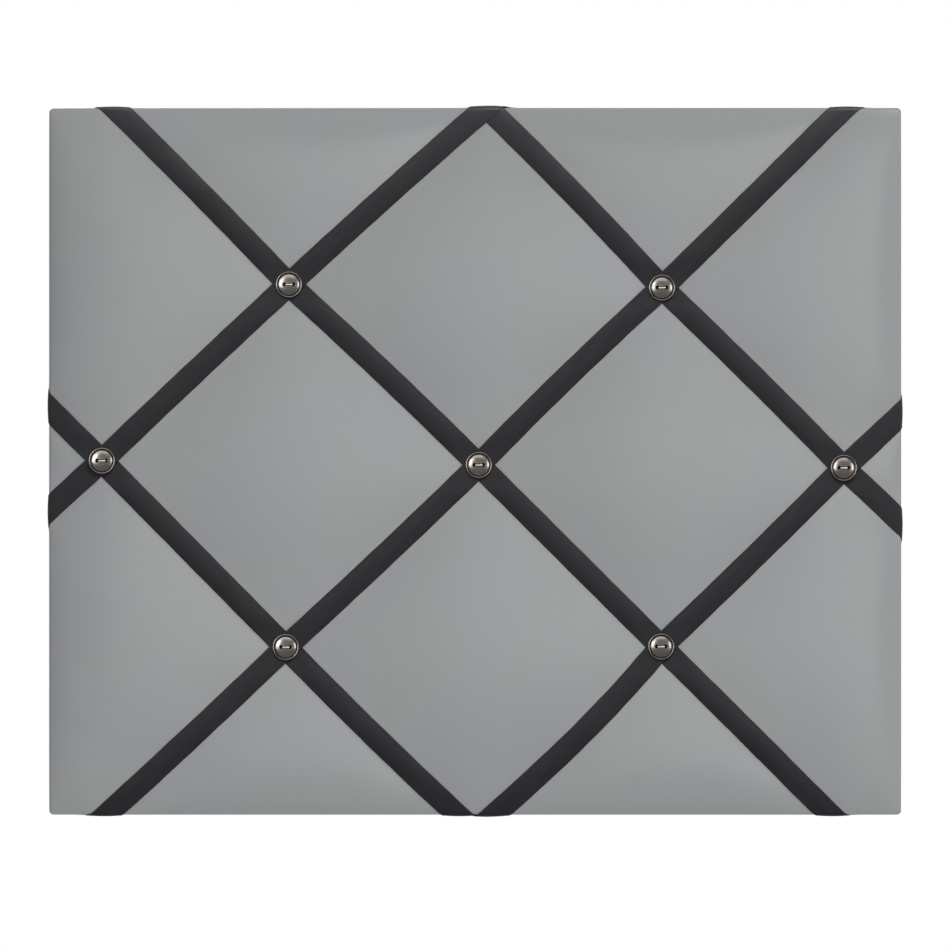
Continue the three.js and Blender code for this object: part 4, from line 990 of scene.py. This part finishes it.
def ring_path(x):
    """The middle of a ring's wire: a straight bar, two tight corners and a half round."""
    half = RING_WIDTH / 2
    # Each bend's middle, radius, first and last angle, and number of points
    turns = [(half - RING_CORNER, -RING_CORNER, RING_CORNER, math.pi / 2, 0, 12),
             (0, -RING_LEG, half, 0, -math.pi, 44),
             (RING_CORNER - half, -RING_CORNER, RING_CORNER, math.pi, math.pi / 2, 12)]
    path = []
    for centre_x, centre_z, radius, first, last, count in turns:
        for a in np.linspace(first, last, count):
            path.append((x + centre_x + radius * math.cos(a), RING_AXIS,
                         HANGER_HEIGHT + centre_z + radius * math.sin(a)))
    return path


# Materials

def linear(code):
    """Linear colour of an sRGB hex value."""
    values = [int(code[k:k + 2], 16) / 255 for k in (0, 2, 4)]
    return [v / 12.92 if v <= 0.04045 else ((v + 0.055) / 1.055) ** 2.4 for v in values] + [1]


def new_material(name, **sockets):
    """A material with a plain shader, and its tree and shader node."""
    material = bpy.data.materials.new(name)
    material.use_nodes = True
    tree = material.node_tree
    shader = tree.nodes["Principled BSDF"]
    for label, value in sockets.items():
        shader.inputs[label.replace("_", " ")].default_value = value
    return material, tree, shader


def bands(pitch):
    """Scale at which a wave's bands lie this many millimetres apart."""
    return 2 * math.pi / (20 * pitch * MM)


def grain(size):
    """Scale at which a noise's grains are about this many millimetres wide."""
    return 1 / (size * MM)


def grey_sateen():
    # Polyester sateen, woven close and pressed: an even matt grey with a soft bloom at a slant
    material, tree, shader = new_material(
        "grey_sateen", Roughness=0.24, Specular_IOR_Level=0.195)
    cut = put(tree, "ShaderNodeUVMap", {"uv_map": "cut"}).outputs["UV"]
    spot = put(tree, "ShaderNodeTexCoord").outputs["Object"]
    # Threads 0.4 mm apart are too fine for the render, so they are drawn at 0.8 mm
    warp = put(tree, "ShaderNodeTexWave", {"bands_direction": "X"}, {
        "Vector": cut, "Scale": bands(0.8), "Distortion": 0.6, "Detail Scale": 3.0})
    weft = put(tree, "ShaderNodeTexWave", {"bands_direction": "Y"}, {
        "Vector": cut, "Scale": bands(0.8), "Distortion": 0.6, "Detail Scale": 3.0})
    over = put(tree, "ShaderNodeTexChecker", {}, {"Vector": cut, "Scale": grain(0.8)})
    weave = put(tree, "ShaderNodeMix", {}, {
        "Factor": over.outputs["Fac"], 2: warp.outputs["Fac"], 3: weft.outputs["Fac"]})
    slub = put(tree, "ShaderNodeTexNoise", {}, {"Vector": cut, "Scale": grain(3), "Detail": 3.0})
    height = put(tree, "ShaderNodeMath", {"operation": "MULTIPLY_ADD"}, {
        0: slub.outputs["Fac"], 1: 0.8, 2: weave.outputs[0]})
    cloud = put(tree, "ShaderNodeTexNoise", {}, {"Vector": spot, "Scale": grain(70), "Detail": 2.0})
    tone = put(tree, "ShaderNodeValToRGB", {}, {"Fac": cloud.outputs["Fac"]})
    tone.color_ramp.elements[0].position = 0.35
    tone.color_ramp.elements[0].color = linear("98999B")
    tone.color_ramp.elements[1].position = 0.68
    tone.color_ramp.elements[1].color = linear("999B9A")
    shade = put(tree, "ShaderNodeMix", {"data_type": "RGBA", "blend_type": "MULTIPLY"}, {
        6: tone.outputs["Color"], 7: linear("E6E6E6")})
    fleck = put(tree, "ShaderNodeMath", {"operation": "MULTIPLY"}, {0: weave.outputs[0], 1: 0.15})
    tree.links.new(fleck.outputs["Value"], shade.inputs[0])
    bump = put(tree, "ShaderNodeBump", {}, {
        "Strength": 0.12, "Distance": 0.1 * MM, "Height": height.outputs["Value"]})
    tree.links.new(shade.outputs[2], shader.inputs["Base Color"])
    tree.links.new(bump.outputs["Normal"], shader.inputs["Normal"])
    return material


def charcoal_satin():
    # Double-faced satin ribbon, its long floats lying along it: near black with a soft broad shine
    material, tree, shader = new_material(
        "charcoal_satin", Roughness=0.4, Specular_IOR_Level=0.1, Anisotropic=0.3)
    cut = put(tree, "ShaderNodeUVMap", {"uv_map": "cut"}).outputs["UV"]
    # Floats 0.2 mm apart, drawn at 0.5 mm to show in the render
    floats = put(tree, "ShaderNodeTexWave", {"bands_direction": "Y"}, {
        "Vector": cut, "Scale": bands(0.5), "Distortion": 1.2, "Detail": 2.0, "Detail Scale": 2.0})
    drawn = put(tree, "ShaderNodeMapping", {}, {"Vector": cut, "Scale": (1.0, 9.0, 1.0)})
    streak = put(tree, "ShaderNodeTexNoise", {}, {
        "Vector": drawn.outputs["Vector"], "Scale": grain(22), "Detail": 3.0})
    tone = put(tree, "ShaderNodeValToRGB", {}, {"Fac": streak.outputs["Fac"]})
    tone.color_ramp.elements[0].position = 0.3
    tone.color_ramp.elements[0].color = linear("242427")
    tone.color_ramp.elements[1].position = 0.7
    tone.color_ramp.elements[1].color = linear("29292C")
    bump = put(tree, "ShaderNodeBump", {}, {
        "Strength": 0.15, "Distance": 0.06 * MM, "Height": floats.outputs["Fac"]})
    tree.links.new(tone.outputs["Color"], shader.inputs["Base Color"])
    tree.links.new(bump.outputs["Normal"], shader.inputs["Normal"])
    return material


def antique_nickel():
    # Cast button, nickel plated and darkened in its hollows: bright worn crowns over brown-black tarnish,
    # with painted shade in the eye recess and the stitch holes
    material, tree, shader = new_material("antique_nickel", Metallic=1.0)
    spot = put(tree, "ShaderNodeTexCoord").outputs["Object"]
    # The button's darkness attribute carries tarnish in the groove and on the back, painted shade in the
    # stitch holes, and both in the eye
    hollow = put(tree, "ShaderNodeAttribute", {"attribute_name": "tarnish_and_painted_shade"}).outputs["Fac"]
    blotch = put(tree, "ShaderNodeTexNoise", {}, {"Vector": spot, "Scale": grain(2.2), "Detail": 5.0})
    patina = put(tree, "ShaderNodeMath", {"operation": "MULTIPLY_ADD"}, {
        0: blotch.outputs["Fac"], 1: 0.3, 2: -0.1})
    depth = put(tree, "ShaderNodeMath", {"operation": "ADD", "use_clamp": True}, {
        0: hollow, 1: patina.outputs["Value"]})
    tone = put(tree, "ShaderNodeValToRGB", {}, {"Fac": depth.outputs["Value"]})
    tone.color_ramp.elements[0].color = linear("5F5B57")
    tone.color_ramp.elements[1].color = linear("14110F")
    rough = put(tree, "ShaderNodeMapRange", {}, {
        "Value": depth.outputs["Value"], "To Min": 0.24, "To Max": 0.6})
    pits = put(tree, "ShaderNodeTexNoise", {}, {"Vector": spot, "Scale": grain(0.7), "Detail": 3.0})
    bump = put(tree, "ShaderNodeBump", {}, {
        "Strength": 0.1, "Distance": 0.05 * MM, "Height": pits.outputs["Fac"]})
    tree.links.new(tone.outputs["Color"], shader.inputs["Base Color"])
    tree.links.new(rough.outputs["Result"], shader.inputs["Roughness"])
    tree.links.new(bump.outputs["Normal"], shader.inputs["Normal"])
    return material


def pale_cotton():
    # Waxed cotton button thread: off-white and matt, with fine hairs
    material, tree, shader = new_material("pale_cotton", Roughness=0.7, Sheen_Weight=0.3)
    spot = put(tree, "ShaderNodeTexCoord").outputs["Object"]
    hair = put(tree, "ShaderNodeTexNoise", {}, {"Vector": spot, "Scale": grain(0.25), "Detail": 4.0})
    tone = put(tree, "ShaderNodeValToRGB", {}, {"Fac": hair.outputs["Fac"]})
    tone.color_ramp.elements[0].color = linear("E4DFD8")
    tone.color_ramp.elements[1].color = linear("FAF8F4")
    bump = put(tree, "ShaderNodeBump", {}, {
        "Strength": 0.3, "Distance": 0.05 * MM, "Height": hair.outputs["Fac"]})
    tree.links.new(tone.outputs["Color"], shader.inputs["Base Color"])
    tree.links.new(bump.outputs["Normal"], shader.inputs["Normal"])
    return material


def fibre_material(name, pale, dark, size, rough, strength):
    # Pressed or felted fibre: short specks of two tones, a faint nap, and no shine
    material, tree, shader = new_material(name, Roughness=rough, Specular_IOR_Level=0.3)
    spot = put(tree, "ShaderNodeTexCoord").outputs["Object"]
    drawn = put(tree, "ShaderNodeMapping", {}, {"Vector": spot, "Scale": (0.35, 1.0, 1.0)})
    speck = put(tree, "ShaderNodeTexNoise", {}, {
        "Vector": drawn.outputs["Vector"], "Scale": grain(size), "Detail": 5.0, "Roughness": 0.65})
    cloud = put(tree, "ShaderNodeTexNoise", {}, {"Vector": spot, "Scale": grain(45), "Detail": 2.0})
    mixed = put(tree, "ShaderNodeMath", {"operation": "MULTIPLY_ADD"}, {
        0: cloud.outputs["Fac"], 1: 0.35, 2: speck.outputs["Fac"]})
    tone = put(tree, "ShaderNodeValToRGB", {}, {"Fac": mixed.outputs["Value"]})
    tone.color_ramp.elements[0].position = 0.45
    tone.color_ramp.elements[0].color = linear(dark)
    tone.color_ramp.elements[1].position = 0.9
    tone.color_ramp.elements[1].color = linear(pale)
    bump = put(tree, "ShaderNodeBump", {}, {
        "Strength": strength, "Distance": 0.2 * MM, "Height": speck.outputs["Fac"]})
    tree.links.new(tone.outputs["Color"], shader.inputs["Base Color"])
    tree.links.new(bump.outputs["Normal"], shader.inputs["Normal"])
    return material


def plated_steel(name, bright, dull, rough):
    # Pressed steel with a thin bright plating: cool grey, faintly clouded, with fine rolling marks
    material, tree, shader = new_material(name, Metallic=1.0)
    spot = put(tree, "ShaderNodeTexCoord").outputs["Object"]
    cloud = put(tree, "ShaderNodeTexNoise", {}, {"Vector": spot, "Scale": grain(4), "Detail": 4.0})
    tone = put(tree, "ShaderNodeValToRGB", {}, {"Fac": cloud.outputs["Fac"]})
    tone.color_ramp.elements[0].position = 0.35
    tone.color_ramp.elements[0].color = linear(dull)
    tone.color_ramp.elements[1].position = 0.65
    tone.color_ramp.elements[1].color = linear(bright)
    drawn = put(tree, "ShaderNodeMapping", {}, {"Vector": spot, "Scale": (1.0, 1.0, 0.08)})
    marks = put(tree, "ShaderNodeTexNoise", {}, {
        "Vector": drawn.outputs["Vector"], "Scale": grain(0.3), "Detail": 2.0})
    shine = put(tree, "ShaderNodeMapRange", {}, {
        "Value": marks.outputs["Fac"], "To Min": rough - 0.08, "To Max": rough + 0.12})
    bump = put(tree, "ShaderNodeBump", {}, {
        "Strength": 0.08, "Distance": 0.03 * MM, "Height": marks.outputs["Fac"]})
    tree.links.new(tone.outputs["Color"], shader.inputs["Base Color"])
    tree.links.new(shine.outputs["Result"], shader.inputs["Roughness"])
    tree.links.new(bump.outputs["Normal"], shader.inputs["Normal"])
    return material


def fit(piece, slot, *nodes, body="board"):
    """Puts a finished piece on a body, in place of the solids that it stands for."""
    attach(piece, body)
    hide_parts(*nodes)
    return piece


def dress(nodes, material):
    """Gives the solids that stay as they are a finish."""
    for name in nodes:
        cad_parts[name].data.materials.clear()
        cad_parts[name].data.materials.append(material)


# Camera, light and floor

VIEW_WIDTH = 536.2  # millimetres across the picture at the board
VIEW_CENTRE = (-0.08, -7.72)  # the point of the board in the middle of the picture
LENS = 500.0  # long, so that hardly any of the board's sides shows
SENSOR = 36.0
LAMPS = (  # place, width and height in metres, and power in watts
    ("key", (1.77, -8.0, 0.56), 5.0, 2.85, 190),
    ("high_side", (3.4, -3.9, 5.8), 3.0, 3.0, 264),
    ("left_strip", (-1.2, -1.3, 0.4), 1.1, 1.2, 48),
    ("right_strip", (1.4, -1.17, 0.12), 0.6, 0.8, 18),
    ("top_strip", (-0.15, -1.25, 1.3), 2.0, 0.9, 19),
    ("ribbon_light", (0.9, -1.4, 2.7), 2.0, 0.8, 195),
    ("back_fill", (-0.9, 2.2, 1.1), 1.5, 1.5, 40),
)
WARM_LAMPS = ("key", "ribbon_light")
WARM = (1.0, 1.0, 0.955)  # a white with a little less blue, and below one with a little more
COOL_FILL = (0.98, 1.0, 1.08, 1.0)
FILL_ABOVE = 0.375  # the room's light from straight above, which fades to none from below
FLOOR_REACH = 3.0  # metres, as the level below
FLOOR_LEVEL = -0.62


def place_camera():
    """Looks straight at the board's front, with colours shown as they are."""
    distance = VIEW_WIDTH * LENS / SENSOR
    camera = add_object("camera", bpy.data.cameras.new("camera"))
    camera.data.lens = LENS
    camera.data.sensor_width = SENSOR
    camera.location = Vector((VIEW_CENTRE[0], -SIDE_FRONT - distance, VIEW_CENTRE[1])) * MM
    camera.rotation_euler = (math.pi / 2, 0, 0)
    bpy.context.scene.camera = camera
    bpy.context.scene.view_settings.view_transform = "Standard"


def hang_lamps():
    """Area lamps that all face the board."""
    holders = {}
    for name, place, width, height, power in LAMPS:
        lamp = bpy.data.lights.new(name, "AREA")
        lamp.shape = "RECTANGLE"
        lamp.size = width
        lamp.size_y = height
        lamp.energy = power
        lamp.color = WARM if name in WARM_LAMPS else (1, 1, 1)
        holder = add_object(name, lamp)
        holder.location = place
        holder.rotation_euler = (-Vector(place)).to_track_quat("-Z", "Y").to_euler()
        holders[name] = holder
    return holders


def fill_room():
    """A room that is white where it is seen, and lights the board softly from above."""
    world = bpy.data.worlds.new("white_room")
    bpy.context.scene.world = world
    world.use_nodes = True
    tree = world.node_tree
    tree.nodes.clear()
    path = put(tree, "ShaderNodeLightPath").outputs
    seen = put(tree, "ShaderNodeMath", {"operation": "MAXIMUM"}, {
        0: path["Is Camera Ray"], 1: path["Is Glossy Ray"]})
    seen = put(tree, "ShaderNodeMath", {"operation": "MAXIMUM"}, {
        0: seen.outputs[0], 1: path["Is Transmission Ray"]})
    way = put(tree, "ShaderNodeTexCoord").outputs["Generated"]
    height = put(tree, "ShaderNodeSeparateXYZ", {}, {"Vector": way}).outputs["Z"]
    fill = put(tree, "ShaderNodeMapRange", {}, {
        "Value": height, "From Min": -1.0, "To Min": 0.0, "To Max": FILL_ABOVE})
    level = put(tree, "ShaderNodeMapRange", {}, {
        "Value": seen.outputs[0], "To Min": fill.outputs["Result"], "To Max": 1.0})
    tint = put(tree, "ShaderNodeMix", {"data_type": "RGBA"}, {
        0: seen.outputs[0], 6: COOL_FILL, 7: (1, 1, 1, 1)})
    glow = put(tree, "ShaderNodeBackground", {}, {
        "Color": tint.outputs[2], "Strength": level.outputs["Result"]})
    put(tree, "ShaderNodeOutputWorld", {}, {"Surface": glow.outputs["Background"]})


def lay_floor():
    mesh = bpy.data.meshes.new("floor")
    corners = [(FLOOR_REACH * x, FLOOR_REACH * y, FLOOR_LEVEL) for x, y in SQUARE]
    mesh.from_pydata(corners, [], [(0, 1, 2, 3)])
    # Painted studio floor: a matt white that takes a soft shadow
    material, tree, shader = new_material("pale_floor", Roughness=0.8, Specular_IOR_Level=0.2)
    spot = put(tree, "ShaderNodeTexCoord").outputs["Object"]
    cloud = put(tree, "ShaderNodeTexNoise", {}, {"Vector": spot, "Scale": grain(300)})
    tone = put(tree, "ShaderNodeValToRGB", {}, {"Fac": cloud.outputs["Fac"]})
    tone.color_ramp.elements[0].color = linear("EDEDED")
    tone.color_ramp.elements[1].color = linear("F2F2F2")
    tree.links.new(tone.outputs["Color"], shader.inputs["Base Color"])
    # Clear from below, so that the floor never hides the board
    below = put(tree, "ShaderNodeNewGeometry").outputs["Backfacing"]
    clear = put(tree, "ShaderNodeBsdfTransparent").outputs["BSDF"]
    seen_floor = put(tree, "ShaderNodeMixShader", {}, {"Fac": below, 1: shader.outputs["BSDF"], 2: clear})
    tree.links.new(seen_floor.outputs["Shader"], tree.nodes["Material Output"].inputs["Surface"])
    mesh.materials.append(material)
    floor = add_object("floor", mesh)


def share_lamps(lamps, buttons, ribbons):
    """Gives the domes and the ribbons lamps of their own, and leaves the rest to the softboxes.

    The strips' slim shapes show in the domes. The ribbons' lamp hangs high, so that the upper half of each
    crowned ribbon is paler than its lower half.
    """
    for name, state, pieces in (
            ("key", "EXCLUDE", [buttons, *ribbons]),
            ("high_side", "EXCLUDE", [buttons, *ribbons]),
            ("left_strip", "INCLUDE", [buttons]),
            ("right_strip", "INCLUDE", [buttons]),
            ("top_strip", "INCLUDE", [buttons]),
            ("ribbon_light", "INCLUDE", ribbons)):
        group = bpy.data.collections.new(name + "_receivers")
        for piece in pieces:
            group.objects.link(piece)
        for member in group.collection_objects:
            member.light_linking.link_state = state
        lamps[name].light_linking.receiver_collection = group


place_camera()
lamps = hang_lamps()
fill_room()
lay_floor()

cloth = grey_sateen()
satin = charcoal_satin()
nickel = antique_nickel()
cotton = pale_cotton()
wadding = fibre_material("polyester_wadding", "F0EFEA", "DCDAD2", 4, 0.95, 0.5)
fibreboard = fibre_material("tan_fibreboard", "B7A588", "94805F", 1.4, 0.85, 0.3)
hardboard = fibre_material("brown_hardboard", "8A6B4C", "5E4630", 1.1, 0.55, 0.2)
plate = plated_steel("zinc_plated_strap", "C9CBCC", "A5A8AA", 0.34)
wire_finish = plated_steel("zinc_plated_ring", "D2D3D2", "AEB0B0", 0.26)
screw_finish = plated_steel("bright_zinc_screw", "CFCDC6", "A6A49C", 0.3)
staple_finish = plated_steel("galvanised_wire", "BFC1C2", "97999A", 0.4)

pad = fit(wadding_pad(wadding), "wadding", "foam_pad")
cover, cover_flat, cover_area = cloth_cover(cloth)
fit(cover, "cloth", "fabric_cover")

ribbons = []
for number, name in enumerate(RIBBONS):
    ribbon, ribbon_length = satin_ribbon(name, satin, 1.0 + number)
    ribbons.append(ribbon)
    ribbon.name = "satin_" + name
    fit(ribbon, "ribbon", name)

place_tree = set_at_each_place()
wire_tree = wire_along()

form = button_form(nickel)
spots = [(float(x), float(z)) for x, z in BUTTON_SPOTS.values()]
buttons = grown("sewn_buttons", points_object([(x, -BUTTON_BACK, z) for x, z in spots]), place_tree,
                {"Form": form, "Turn": 0.0, "Seed": 4, "Finish": nickel})
bpy.data.objects.remove(form)
fit(buttons, "button_metal", *["button_" + name for name in BUTTON_PLACES])
share_lamps(lamps, buttons, ribbons)

threads = grown("button_threads", path_object(thread_paths(spots)), wire_tree,
                {"Wire radius": PLY_RADIUS * MM, "Sides": PLY_SIDES, "Finish": cotton})
fit(threads, "thread", *["thread_" + name for name in BUTTON_PLACES])

hanger_x = {"left": -HANGER_SPREAD / 2, "right": HANGER_SPREAD / 2}
form = strap_form(plate)
straps = grown("hanger_straps", points_object([(x, 0, HANGER_HEIGHT) for x in hanger_x.values()]),
               place_tree, {"Form": form, "Turn": 0.0, "Seed": 1, "Finish": plate})
bpy.data.objects.remove(form)
fit(straps, "hanger_plate", "hanger_strap_left", "hanger_strap_right")

form, slot_bars = screw_form(screw_finish)
screws = grown("hanger_screws",
               points_object([(x, SCREW_SEAT, HANGER_HEIGHT - SCREW_DROP) for x in hanger_x.values()]),
               place_tree, {"Form": form, "Turn": SCREW_TURN, "Seed": 7, "Finish": screw_finish})
for leftover in [form, *slot_bars]:
    bpy.data.objects.remove(leftover)
fit(screws, "screw_steel", "hanger_screw_left", "hanger_screw_right")

for side, x in hanger_x.items():
    ring = grown(f"hanging_ring_{side}", path_object([ring_path(x)]), wire_tree,
                 {"Wire radius": RING_WIRE / 2 * MM, "Sides": RING_SIDES, "Finish": wire_finish})
    fit(ring, "hanger_plate", f"hanger_ring_{side}", body=f"{side}_ring")

dress(["base_board"], fibreboard)
dress(["back_panel"], hardboard)
dress([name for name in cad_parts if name.startswith("ribbon_staple")], staple_finish)
